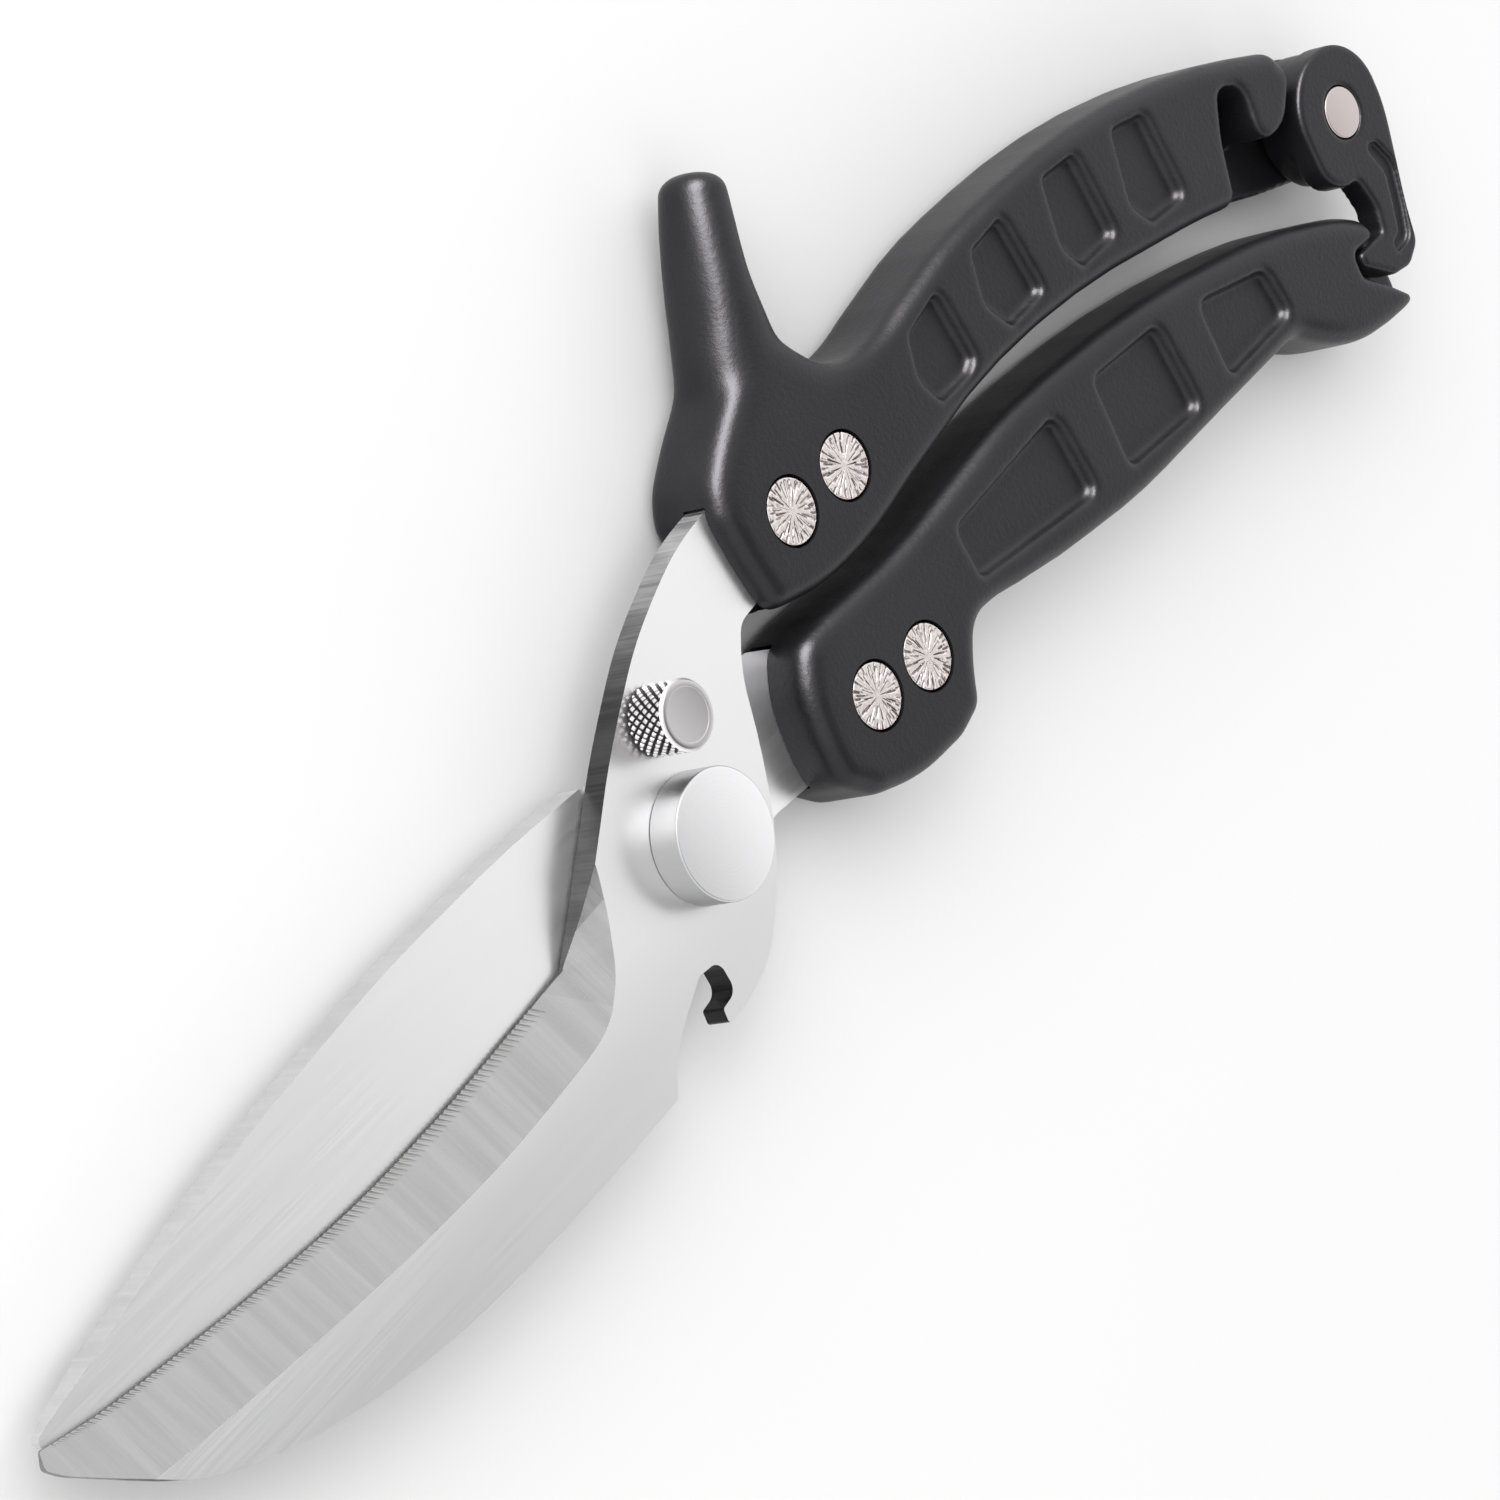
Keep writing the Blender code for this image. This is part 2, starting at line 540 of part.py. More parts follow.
def pull_knob():
    turned("lock_knob", [
        (0, KNOB_TOP), (KNOB_R - 0.5, KNOB_TOP), (KNOB_R, KNOB_TOP - 0.5), (KNOB_R, 10.7),
        (KNOB_R - 0.5, 10.2), (3.3, 10.2), (3.3, 14.0), (LOCK_PIN_R + GAP, 14.0),
        (LOCK_PIN_R + GAP, 15.2), (0, 15.2),
    ], KNOB_AT, BRIGHT, 40)
    turned("lock_pin", [
        (0, 4.2), (LOCK_PIN_R - 0.3, 4.2), (LOCK_PIN_R, 4.5), (LOCK_PIN_R, 7.8), (2.2, 7.8), (2.2, 8.3),
        (LOCK_PIN_R, 8.3), (LOCK_PIN_R, 14.9), (0, 14.9),
    ], KNOB_AT, BRIGHT, 24)
    turned("lock_sleeve", [
        (1.8, 6.8), (SLEEVE_R, 6.8), (SLEEVE_R, 13.7), (1.8, 13.7), (1.8, 13.0), (2.5, 13.0),
        (2.5, 7.5), (1.8, 7.5),
    ], KNOB_AT, BRIGHT, 28)
    # The coil is drawn as long as it is when the knob is pulled.
    coil_low = 11.2
    coil_high = 12.75
    steps = int(3.5 * 16)
    coil = [
        (KNOB_AT[0] + 1.99 * cos(2 * pi * k / 16), KNOB_AT[1] + 1.99 * sin(2 * pi * k / 16),
         coil_low + (coil_high - coil_low) * k / steps)
        for k in range(steps + 1)
    ]
    wire("lock_spring", coil, 0.17, SPRING, sides=6)


# ---------------------------------------------------------------- latch

def latch():
    arm = [
        (141.4, 26.6, 8.3), (158.0, 26.6, 8.3), (158.1, 16.0), (155.8, 9.0), (153.8, 3.0),
        (152.8, -1.6, 2.5), (149.8, -3.4, 2), (146.4, -3.1, 1.5), (141.6, 0.4, 0.7), (141.6, 2.1, 0.6),
        (147.4, 2.4, 0.5), (148.2, 5.6, 3), (147.2, 10.0, 1.5), (141.4, 10.0, 8.3),
    ]
    made = slab("latch", outline(arm), LATCH_ARM_Z, HANDLE_T, GRIP, high_round=0.5, steps=2)
    barrel = slab("latch_barrel", circle(LATCH_AT, LATCH_R - 0.02, 48), LATCH_Z, HANDLE_T - 0.6)
    boolean(made, barrel, "UNION")
    relief = outline([
        (149.8, 9.6, 0.8), (153.8, 9.4, 0.8), (152.6, 4.6, 3), (151.4, 0.6, 0.7), (149.4, 0.4, 0.6),
        (150.2, 5.0, 3),
    ])
    boolean(made, slab("arm_relief", relief, HANDLE_T - 1.0, HANDLE_T + 1))
    drill(made, "latch_bore", LATCH_AT, LATCH_PIN_R + GAP, 4, HANDLE_T + 1)

    pin = LATCH_PIN_R
    turned("latch_pin", [
        (0, 0.1), (pin - 0.3, 0.1), (pin, 0.4), (pin, HANDLE_T - 0.2), (pin - 0.2, HANDLE_T), (0, HANDLE_T),
    ], LATCH_AT, BRIGHT, 32)
    turned("latch_washer", [
        (pin + GAP, LUG_TOP + GAP), (6.6, LUG_TOP + GAP), (6.6, LUG_TOP + 0.7), (pin + GAP, LUG_TOP + 0.7),
    ], LATCH_AT, BRIGHT, 32)


# ---------------------------------------------------------------- the shears

for old in list(bpy.data.objects):
    bpy.data.objects.remove(old)

PARTS = collection_named("poultry_shears", False)
CUTTERS = collection_named("cutters", True)
STEEL = material_named("satin_steel", (0.80, 0.80, 0.80), 1.0, 0.28)
BRIGHT = material_named("bright_steel", (0.72, 0.70, 0.69), 1.0, 0.35)
SPRING = material_named("spring_steel", (0.45, 0.45, 0.46), 1.0, 0.40)
GRIP = material_named("black_grip", (0.02, 0.02, 0.022), 0.0, 0.55)

front_blade()
rear_blade()
upper_handle()
lower_handle()
rivets()
pivot()
opening_spring()
pull_knob()
latch()

turning("blade_axis", (0, 0), [
    "rear_blade", "lower_handle", "rivet_lower_1", "rivet_lower_2", "pivot_bolt", "pivot_nut",
    "cap_washer", "pivot_cap",
])
turning("latch_axis", LATCH_AT, ["latch"])
turning("knob_axis", KNOB_AT, ["lock_knob", "lock_pin"])
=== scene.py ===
"""Looks of the spring-opened poultry shears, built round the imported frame.

Lengths are in millimetres and MM turns them into Blender's metres. +X runs from the pivot to the handle
ends, +Y is the side of the horn, +Z points out of the knob side and z = 0 is the table.
"""

from math import cos, pi, radians, sin, tan

import bmesh
import bpy
from mathutils import Euler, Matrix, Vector


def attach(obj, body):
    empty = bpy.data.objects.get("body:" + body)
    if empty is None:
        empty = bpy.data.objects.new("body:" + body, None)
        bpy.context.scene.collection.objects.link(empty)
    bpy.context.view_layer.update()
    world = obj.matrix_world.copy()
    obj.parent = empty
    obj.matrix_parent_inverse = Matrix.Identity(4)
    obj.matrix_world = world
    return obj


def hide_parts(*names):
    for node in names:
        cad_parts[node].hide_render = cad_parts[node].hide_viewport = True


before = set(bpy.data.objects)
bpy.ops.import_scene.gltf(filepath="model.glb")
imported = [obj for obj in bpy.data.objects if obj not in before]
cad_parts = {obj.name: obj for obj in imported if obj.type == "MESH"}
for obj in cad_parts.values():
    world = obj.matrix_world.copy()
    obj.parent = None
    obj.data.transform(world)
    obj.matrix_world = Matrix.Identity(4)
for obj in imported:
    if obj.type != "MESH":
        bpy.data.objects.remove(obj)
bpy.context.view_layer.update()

MM = 0.001
GAP = 0.3  # running gap between moving or pressed parts
FIT = 0.05  # hairline left where two shown surfaces meet

# Layers.
HANDLE_T = 12.7
HANDLE_ROUND = 2.4
BLADE_T = 3.4
REAR_Z = 2.8
FRONT_Z = REAR_Z + BLADE_T + GAP
BLADE_TOP = FRONT_Z + BLADE_T

# Pivot, knob, rivets and latch.
PIVOT_R = 4.0
PIVOT_FLAT = 3.3
HEAD_R = 7.5
HEAD_T = 2.5
CAP_R = 7.75
CAP_TOP = 14.3
KNOB_AT = (1.55, 14.4)
KNOB_R = 4.2
KNOB_TOP = 15.8
SLEEVE_R = 2.9
LOCK_PIN_R = 1.5
LOCK_TRACK_R = 12.4
OPENING = 35.0
SPRING_LEG_AT = (-2.12, -5.83)
SPRING_LEG_R = 6.2
SPRING_LEG_TURN = 250.0
RIVETS = {
    "rivet_upper_1": (32.9, 24.0),
    "rivet_upper_2": (43.7, 24.2),
    "rivet_lower_1": (32.3, -0.1),
    "rivet_lower_2": (42.4, -0.5),
}
RIVET_R = 4.0
RIVET_HEAD_T = 1.5
RIVET_SHANK_R = 2.5
RIVET_SUNK = 0.1
LATCH_AT = (149.7, 18.3)
LATCH_R = 8.3
LATCH_PIN_R = 3.3
LATCH_ARM_Z = 9.0
LUG_TOP = 4.4
POCKET_DEPTH = 1.6
POCKET_DRAFT = 0.35

# Cutting edges.
LAND = 0.4
SERRATED_BEFORE_X = -27.0
SERRATED_ABOVE_Y = -11.0


# ---------------------------------------------------------------- outlines

def outline(points, most_turn=5.0):
    """A closed outline from corner points (x, y, radius).

    A corner without a radius is as round as its neighbours leave room for.
    """
    corners = [Vector(p[:2]) for p in points]
    count = len(corners)
    backs = [corners[i - 1] - corners[i] for i in range(count)]
    aheads = [corners[(i + 1) % count] - corners[i] for i in range(count)]
    turns = [pi - backs[i].angle(aheads[i]) for i in range(count)]
    reaches = []
    for i, point in enumerate(points):
        room = min(backs[i].length, aheads[i].length)
        reaches.append(min(point[2] * tan(turns[i] / 2), room) if len(point) > 2 else 0.48 * room)
    for i in range(count):
        crowding = (reaches[i - 1] + reaches[i]) / (0.98 * backs[i].length)
        if crowding > 1:
            reaches[i - 1] /= crowding
            reaches[i] /= crowding

    result = []
    for corner, back, ahead, turn, reach in zip(corners, backs, aheads, turns, reaches):
        if turn < radians(0.5) or reach < 1e-4:
            result.append(corner)
            continue
        start = corner + back.normalized() * reach
        bisector = (back.normalized() + ahead.normalized()).normalized()
        centre = corner + bisector * (reach / sin(turn / 2))
        steps = max(1, round(turn / radians(most_turn) + 0.4))
        side = 1.0 if back.x * ahead.y - back.y * ahead.x < 0 else -1.0
        first = start - centre
        for k in range(steps + 1):
            angle = side * turn * k / steps
            result.append(centre + Vector((
                first.x * cos(angle) - first.y * sin(angle),
                first.x * sin(angle) + first.y * cos(angle),
            )))
    return result


def counter_clockwise(points):
    """The outline in the direction that slab and inset expect."""
    area = sum(a.x * b.y - b.x * a.y for a, b in zip(points, points[1:] + points[:1]))
    return points if area > 0 else points[::-1]


def inset(points, distance):
    """A counter-clockwise outline moved inwards."""
    count = len(points)
    moved = []
    for i, point in enumerate(points):
        before = (point - points[i - 1]).normalized()
        after = (points[(i + 1) % count] - point).normalized()
        normal = Vector((-before.y - after.y, before.x + after.x)).normalized()
        shrink = max(0.5, normal.dot(Vector((-before.y, before.x))))
        moved.append(point + normal * (distance / shrink))
    return moved


def through(points, steps):
    """A smooth open chain through points with any number of coordinates (Catmull-Rom)."""
    ends = [Vector(p) for p in points]
    ends = [2 * ends[0] - ends[1], *ends, 2 * ends[-1] - ends[-2]]
    result = []
    for p0, p1, p2, p3 in zip(ends, ends[1:], ends[2:], ends[3:]):
        for k in range(steps):
            t = k / steps
            result.append(0.5 * (
                2 * p1 + (p2 - p0) * t + (2 * p0 - 5 * p1 + 4 * p2 - p3) * t ** 2
                + (3 * p1 - p0 - 3 * p2 + p3) * t ** 3
            ))
    return [*result, ends[-2]]


def spread(first, last, steps):
    """Evenly spaced values from first to last."""
    return [first + (last - first) * k / steps for k in range(steps + 1)]


def circle(centre, radius, steps=96):
    turns = (2 * pi * k / steps for k in range(steps))
    return [Vector((centre[0] + radius * cos(a), centre[1] + radius * sin(a))) for a in turns]


# ---------------------------------------------------------------- solids

def solid(name, vertices, faces):
    """An object at the origin with a closed mesh whose faces point outwards."""
    mesh = bpy.data.meshes.new(name)
    mesh.from_pydata([tuple(c * MM for c in v) for v in vertices], [], faces)
    work = bmesh.new()
    work.from_mesh(mesh)
    bmesh.ops.remove_doubles(work, verts=work.verts, dist=1e-7)
    bmesh.ops.recalc_face_normals(work, faces=work.faces)
    work.to_mesh(mesh)
    work.free()
    piece = bpy.data.objects.new(name, mesh)
    bpy.context.scene.collection.objects.link(piece)
    return piece


def stacked(name, rings):
    """A solid through rings of the same length, closed with a flat cap at each end."""
    size = len(rings[0])
    vertices = [point for ring in rings for point in ring]
    faces = [tuple(range(size))[::-1], tuple(range(len(vertices) - size, len(vertices)))]
    for level in range(len(rings) - 1):
        low = level * size
        for i in range(size):
            j = (i + 1) % size
            faces.append((low + i, low + j, low + size + j, low + size + i))
    return solid(name, vertices, faces)


def slab(name, points, z_low, z_high, low_round=0.0, high_round=0.0, steps=8):
    """An extruded outline whose lower and upper edges can be rounded."""
    points = counter_clockwise(points)
    levels = []
    for k in range(steps + 1 if low_round else 1):
        angle = pi / 2 * k / steps
        levels.append((low_round * (1 - sin(angle)), z_low + low_round * (1 - cos(angle))))
    for k in range(steps + 1 if high_round else 1):
        angle = pi / 2 * k / steps
        levels.append((high_round * (1 - cos(angle)), z_high - high_round * (1 - sin(angle))))
    return stacked(name, [
        [(p.x, p.y, z) for p in (inset(points, d) if d else points)] for d, z in levels
    ])


def lathe(name, profile, centre=(0.0, 0.0), steps=128):
    """A solid turned round +Z from a closed profile of (radius, z, corner radius) points."""
    ring = outline([(*p, 0.0)[:3] for p in profile], 12.0)
    vertices = []
    for k in range(steps):
        angle = 2 * pi * k / steps
        vertices += [(centre[0] + p.x * cos(angle), centre[1] + p.x * sin(angle), p.y) for p in ring]
    size = len(ring)
    faces = []
    for k in range(steps):
        here, there = k * size, (k + 1) % steps * size
        for i in range(size):
            j = (i + 1) % size
            if ring[i].x < 1e-6 and ring[j].x < 1e-6:
                continue
            if ring[i].x < 1e-6:
                faces.append((i, here + j, there + j))
            elif ring[j].x < 1e-6:
                faces.append((here + i, j, there + i))
            else:
                faces.append((here + i, here + j, there + j, there + i))
    return solid(name, vertices, faces)


def settle(piece):
    """Makes the piece's modifiers part of its mesh."""
    evaluated = piece.evaluated_get(bpy.context.evaluated_depsgraph_get())
    mesh = bpy.data.meshes.new_from_object(evaluated)
    piece.modifiers.clear()
    piece.data = mesh


def cut(piece, tools, operation="DIFFERENCE"):
    """Takes the tools out of the piece, or joins them to it, and removes them."""
    for tool in tools:
        boolean = piece.modifiers.new(tool.name, "BOOLEAN")
        boolean.operation = operation
        boolean.object = tool
        boolean.solver = "EXACT"
    settle(piece)
    for tool in tools:
        bpy.data.objects.remove(tool)


def drill(name, centre, radius, z_low, z_high, steps=96):
    return slab(name, circle(centre, radius, steps), z_low, z_high)


def soften(piece, centre, radius, rounds):
    """Smooths the skin near a place in the plan."""
    group = piece.vertex_groups.new(name="soft")
    for vertex in piece.data.vertices:
        far = (vertex.co.xy / MM - Vector(centre)).length / radius
        if far < 1:
            group.add([vertex.index], 1 - far * far, "REPLACE")
    smooth = piece.modifiers.new("Soften", "SMOOTH")
    smooth.factor = 0.5
    smooth.iterations = rounds
    smooth.vertex_group = group.name
    settle(piece)
    piece.vertex_groups.clear()


def moulded(piece, grain=0.4, rounds=9, soft_spots=(), most_faces=90000):
    """Gives a solid the even skin and small soft edges of an injection moulding."""
    remesh = piece.modifiers.new("Skin", "REMESH")
    remesh.mode = "VOXEL"
    remesh.voxel_size = grain * MM
    smooth = piece.modifiers.new("Edges", "SMOOTH")
    smooth.factor = 0.5
    smooth.iterations = rounds
    settle(piece)
    for centre, radius, spot_rounds in soft_spots:
        soften(piece, centre, radius, spot_rounds)
    count = sum(len(f.vertices) - 2 for f in piece.data.polygons)
    if count > 2 * most_faces:
        thin = piece.modifiers.new("Thin", "DECIMATE")
        thin.ratio = 2 * most_faces / count
        settle(piece)
    piece.data.shade_smooth()


def crisp(piece, bevel=0.0, angle=22.0):
    """Smooth shading between the sharp edges, which can get a small bevel."""
    if bevel:
        edge = piece.modifiers.new("Edge", "BEVEL")
        edge.width = bevel * MM
        edge.segments = 2
        edge.limit_method = "ANGLE"
        edge.angle_limit = radians(28)
        edge.use_clamp_overlap = True
        settle(piece)
    piece.data.shade_smooth()
    piece.data.set_sharp_from_angle(angle=radians(angle))


# ---------------------------------------------------------------- node helpers

def node(tree, kind, inputs=None, **settings):
    """A new node with its settings; an input is a link from a socket or a plain value."""
    made = tree.nodes.new(kind)
    for key, value in settings.items():
        setattr(made, key, value)
    for key, value in (inputs or {}).items():
        if isinstance(value, bpy.types.NodeSocket):
            tree.links.new(value, made.inputs[key])
        else:
            made.inputs[key].default_value = value
    return made


def calc(tree, operation, *values):
    made = tree.nodes.new("ShaderNodeMath")
    made.operation = operation
    for i, value in enumerate(values):
        if isinstance(value, bpy.types.NodeSocket):
            tree.links.new(value, made.inputs[i])
        else:
            made.inputs[i].default_value = value
    return made.outputs[0]


def length_of(tree, x, y):
    return calc(tree, "SQRT", calc(tree, "ADD", calc(tree, "MULTIPLY", x, x), calc(tree, "MULTIPLY", y, y)))


def ramp(tree, value, low, high, to_low=0.0, to_high=1.0):
    """The value carried smoothly from low..high to to_low..to_high."""
    made = node(tree, "ShaderNodeMapRange", {
        "Value": value, "From Min": low, "From Max": high, "To Min": to_low, "To Max": to_high,
    }, interpolation_type="SMOOTHSTEP")
    return made.outputs[0]


def shape_tree(name, sizes):
    """A Geometry Nodes tree with one geometry each way and a named number for each size."""
    tree = bpy.data.node_groups.new(name, "GeometryNodeTree")
    tree.interface.new_socket("Geometry", in_out="INPUT", socket_type="NodeSocketGeometry")
    tree.interface.new_socket("Geometry", in_out="OUTPUT", socket_type="NodeSocketGeometry")
    for size in sizes:
        tree.interface.new_socket(size, in_out="INPUT", socket_type="NodeSocketFloat")
    return tree, tree.nodes.new("NodeGroupInput").outputs


def end_tree(tree, geometry, material):
    """Makes copies real, sets their material and ends the tree."""
    real = node(tree, "GeometryNodeRealizeInstances", {"Geometry": geometry})
    dressed = node(tree, "GeometryNodeSetMaterial", {"Geometry": real.outputs[0], "Material": material})
    tree.links.new(dressed.outputs[0], tree.nodes.new("NodeGroupOutput").inputs[0])


def grow(piece, tree, sizes):
    """Runs a tree on a piece with the given sizes and keeps the plain mesh."""
    modifier = piece.modifiers.new(tree.name, "NODES")
    modifier.node_group = tree
    for item in tree.interface.items_tree:
        if item.name in sizes:
            modifier[item.identifier] = sizes[item.name]
    settle(piece)


# ---------------------------------------------------------------- finishes

def finish_named(name, colour, metallic, roughness, **sockets):
    """A material with its constant sockets set; returns it with its tree and shader."""
    material = bpy.data.materials.new(name)
    material.use_nodes = True
    tree = material.node_tree
    shader = tree.nodes["Principled BSDF"]
    shader.inputs["Base Color"].default_value = (*colour, 1.0)
    shader.inputs["Metallic"].default_value = metallic
    shader.inputs["Roughness"].default_value = roughness
    for key, value in sockets.items():
        shader.inputs[key.replace("_", " ")].default_value = value
    return material, tree, shader


def object_place(tree):
    return node(tree, "ShaderNodeTexCoord").outputs["Object"]


def coordinates(tree):
    return node(tree, "ShaderNodeSeparateXYZ", {0: object_place(tree)}).outputs


def noise_at(tree, place, stretch, detail, rough):
    """Noise with so many grains to a metre along each axis."""
    scaled = node(tree, "ShaderNodeVectorMath", {0: place, 1: stretch}, operation="MULTIPLY")
    noise = node(tree, "ShaderNodeTexNoise", {
        "Vector": scaled.outputs[0], "Scale": 1.0, "Detail": detail, "Roughness": rough,
    })
    return noise.outputs["Factor" if "Factor" in noise.outputs else "Fac"]


def grain_of(tree, stretch, turn=0.0, detail=3.0, rough=0.6):
    """Noise on the object's own coordinates, turned by so many degrees about Z."""
    turned = node(tree, "ShaderNodeVectorRotate", {
        "Vector": object_place(tree), "Angle": radians(-turn),
    }, rotation_type="Z_AXIS")
    return noise_at(tree, turned.outputs[0], stretch, detail, rough)


def blended(tree, factor, low, high):
    """A colour between low and high by the factor."""
    mix = node(tree, "ShaderNodeMix", {"Factor": factor}, data_type="RGBA")
    for socket, colour in zip([s for s in mix.inputs if s.type == "RGBA"], (low, high)):
        socket.default_value = (*colour, 1.0)
    return [s for s in mix.outputs if s.type == "RGBA"][0]


def coloured(tree, shader, factor, low, high):
    """Lets the shader's colour wander between low and high with the factor."""
    tree.links.new(blended(tree, factor, low, high), shader.inputs["Base Color"])


def worn(tree, shader, noise, low, high):
    """Lets the shader's roughness wander between low and high with the noise."""
    tree.links.new(ramp(tree, noise, 0.3, 0.7, low, high), shader.inputs["Roughness"])


def bumped(tree, shader, relief, distance, strength=1.0, below=None):
    """Gives the shader a relief of so many millimetres, on top of the one below."""
    bump = node(tree, "ShaderNodeBump", {
        "Height": relief, "Distance": distance * MM, "Strength": strength,
    })
    if below:
        tree.links.new(below, bump.inputs["Normal"])
    tree.links.new(bump.outputs[0], shader.inputs["Normal"])
    return bump.outputs[0]


def moulded_nylon():
    """Black nylon with a fine leathery grain, rubbed smoother in places."""
    material, tree, shader = finish_named(
        "moulded_black_nylon", (0.007, 0.0067, 0.008), 0.0, 0.40,
        Specular_IOR_Level=0.27, Specular_Tint=(0.98, 0.95, 1.0, 1.0),
    )
    coarse = grain_of(tree, (1500, 1500, 1500), detail=2.0)
    fine = grain_of(tree, (4200, 4200, 4200), detail=2.0, rough=0.7)
    patches = grain_of(tree, (55, 55, 55), detail=3.0)
    worn(tree, shader, patches, 0.37, 0.44)
    rubbed = ramp(tree, patches, 0.3, 0.7)
    coloured(tree, shader, rubbed, (0.0060, 0.0057, 0.0068), (0.0080, 0.0077, 0.0090))
    first = bumped(tree, shader, coarse, 0.04)
    bumped(tree, shader, fine, 0.012, 0.8, first)
    return material


def lightened(tree, shader, colour, fade, gain):
    """Gives the shader the colour with painted light, lighter by the gain towards +X over the fade."""
    along = coordinates(tree)[0]
    scaled = node(tree, "ShaderNodeVectorMath", {0: colour}, operation="SCALE")
    tree.links.new(ramp(tree, along, fade[0] * MM, fade[1] * MM, 1.0, gain), scaled.inputs["Scale"])
    tree.links.new(scaled.outputs[0], shader.inputs["Base Color"])


def rolled_steel(name, low, high, gain):
    """The flat faces of a blade: an even satin finish with faint lines, and painted light that makes them
    lighter towards the pivot.
    """
    material, tree, shader = finish_named(name, (high,) * 3, 1.0, 0.33)
    lines = grain_of(tree, (60, 5200, 60), turn=4.0, detail=3.0)
    cloud = grain_of(tree, (26, 26, 26), detail=2.0)
    worn(tree, shader, lines, 0.30, 0.36)
    lightened(tree, shader, blended(tree, cloud, (low,) * 3, (high,) * 3), (-80.0, 15.0), gain)
    bumped(tree, shader, lines, 0.0003)
    return material


def ground_steel():
    """The ground bevels: wheel marks across the edge, some of them deeper, in bands of uneven finish."""
    material, tree, shader = finish_named("ground_bevel_steel", (0.38, 0.38, 0.38), 1.0, 0.32)
    marks = grain_of(tree, (3600, 70, 70), turn=8.0, detail=4.0, rough=0.65)
    bands = grain_of(tree, (420, 22, 22), turn=8.0, detail=3.0)
    coloured(tree, shader, ramp(tree, bands, 0.32, 0.68), (0.33,) * 3, (0.38,) * 3)
    worn(tree, shader, marks, 0.24, 0.42)
    both = calc(tree, "ADD", marks, calc(tree, "MULTIPLY", bands, 0.6))
    bumped(tree, shader, both, 0.004)
    return material


def cut_steel(name, low, high, painted_light_gain=1.0, fade=(-60.0, 60.0)):
    """The cut outline of a blade: short marks across the thickness, with painted light that makes it
    lighter by a gain along X over fade.
    """
    material, tree, shader = finish_named(name, high, 1.0, 0.42)
    marks = grain_of(tree, (2600, 2600, 60), detail=4.0)
    bands = grain_of(tree, (160, 160, 60), detail=3.0)
    share = calc(tree, "ADD", calc(tree, "MULTIPLY", marks, 0.5), calc(tree, "MULTIPLY", bands, 0.5))
    plain = blended(tree, ramp(tree, share, 0.38, 0.62), low, high)
    lightened(tree, shader, plain, fade, painted_light_gain)
    worn(tree, shader, marks, 0.36, 0.52)
    bumped(tree, shader, marks, 0.006)
    return material


def turned_steel(name, colour, roughness, centre=(0.0, 0.0), lines=4200.0):
    """Lathe-turned steel: rings round its own axis."""
    material, tree, shader = finish_named(name, colour, 1.0, roughness)
    moved = node(tree, "ShaderNodeVectorMath", {
        0: object_place(tree), 1: (centre[0] * MM, centre[1] * MM, 0.0),
    }, operation="SUBTRACT")
    split = node(tree, "ShaderNodeSeparateXYZ", {0: moved.outputs[0]})
    flat = node(tree, "ShaderNodeCombineXYZ", {0: split.outputs[0], 1: split.outputs[1], 2: 0.0})
    radius = node(tree, "ShaderNodeVectorMath", {0: flat.outputs[0]}, operation="LENGTH").outputs["Value"]
    ring = node(tree, "ShaderNodeCombineXYZ", {0: radius, 1: split.outputs[2], 2: 0.0})
    rings = noise_at(tree, ring.outputs[0], (lines, lines, 1.0), 3.0, 0.5)
    worn(tree, shader, rings, roughness - 0.02, roughness + 0.03)
    coloured(tree, shader, ramp(tree, rings, 0.3, 0.7), tuple(c * 0.97 for c in colour), colour)
    bumped(tree, shader, rings, 0.0006)
    return material


def toned(material, measure, first, second, low, high):
    """Multiplies a steel's colour by first where the measure is under low, and by second over high."""
    tree = material.node_tree
    shader = tree.nodes["Principled BSDF"]
    plain = shader.inputs["Base Color"].links[0].from_socket
    tone = blended(tree, ramp(tree, measure(tree), low * MM, high * MM), (first,) * 3, (second,) * 3)
    mixed = node(tree, "ShaderNodeVectorMath", {0: plain, 1: tone}, operation="MULTIPLY")
    tree.links.new(mixed.outputs[0], shader.inputs["Base Color"])


def height(tree):
    """How far a point is above the table."""
    return coordinates(tree)[2]


def off_axis(tree, centre=(0.0, 0.0)):
    """How far a point is from a vertical axis."""
    place = coordinates(tree)
    x = calc(tree, "SUBTRACT", place[0], centre[0] * MM)
    y = calc(tree, "SUBTRACT", place[1], centre[1] * MM)
    return length_of(tree, x, y)


def knurl_radius(tree):
    """How far a point of the knob is from its axis, or very far on the flat face."""
    on_face = calc(tree, "GREATER_THAN", height(tree), (KNOB_TOP - 0.5) * MM)
    return calc(tree, "ADD", off_axis(tree, KNOB_AT), on_face)


def from_notch(tree):
    """How far up the front blade a point is from the notch side, leaning towards the tip."""
    place = coordinates(tree)
    return calc(tree, "SUBTRACT", place[1], calc(tree, "MULTIPLY", place[0], 0.16))


def off_rivet_middle(tree):
    """How far a point is from the middle of a rivet's length."""
    return calc(tree, "ABSOLUTE", calc(tree, "SUBTRACT", height(tree), HANDLE_T / 2 * MM))


def pressed_steel(name, colour):
    """Bright steel with the fine pits of a press tool."""
    material, tree, shader = finish_named(name, colour, 1.0, 0.30)
    pits = grain_of(tree, (2400, 2400, 2400), detail=3.0)
    coloured(tree, shader, ramp(tree, pits, 0.35, 0.65), tuple(c * 0.82 for c in colour), colour)
    worn(tree, shader, pits, 0.24, 0.38)
    bumped(tree, shader, pits, 0.008)
    return material


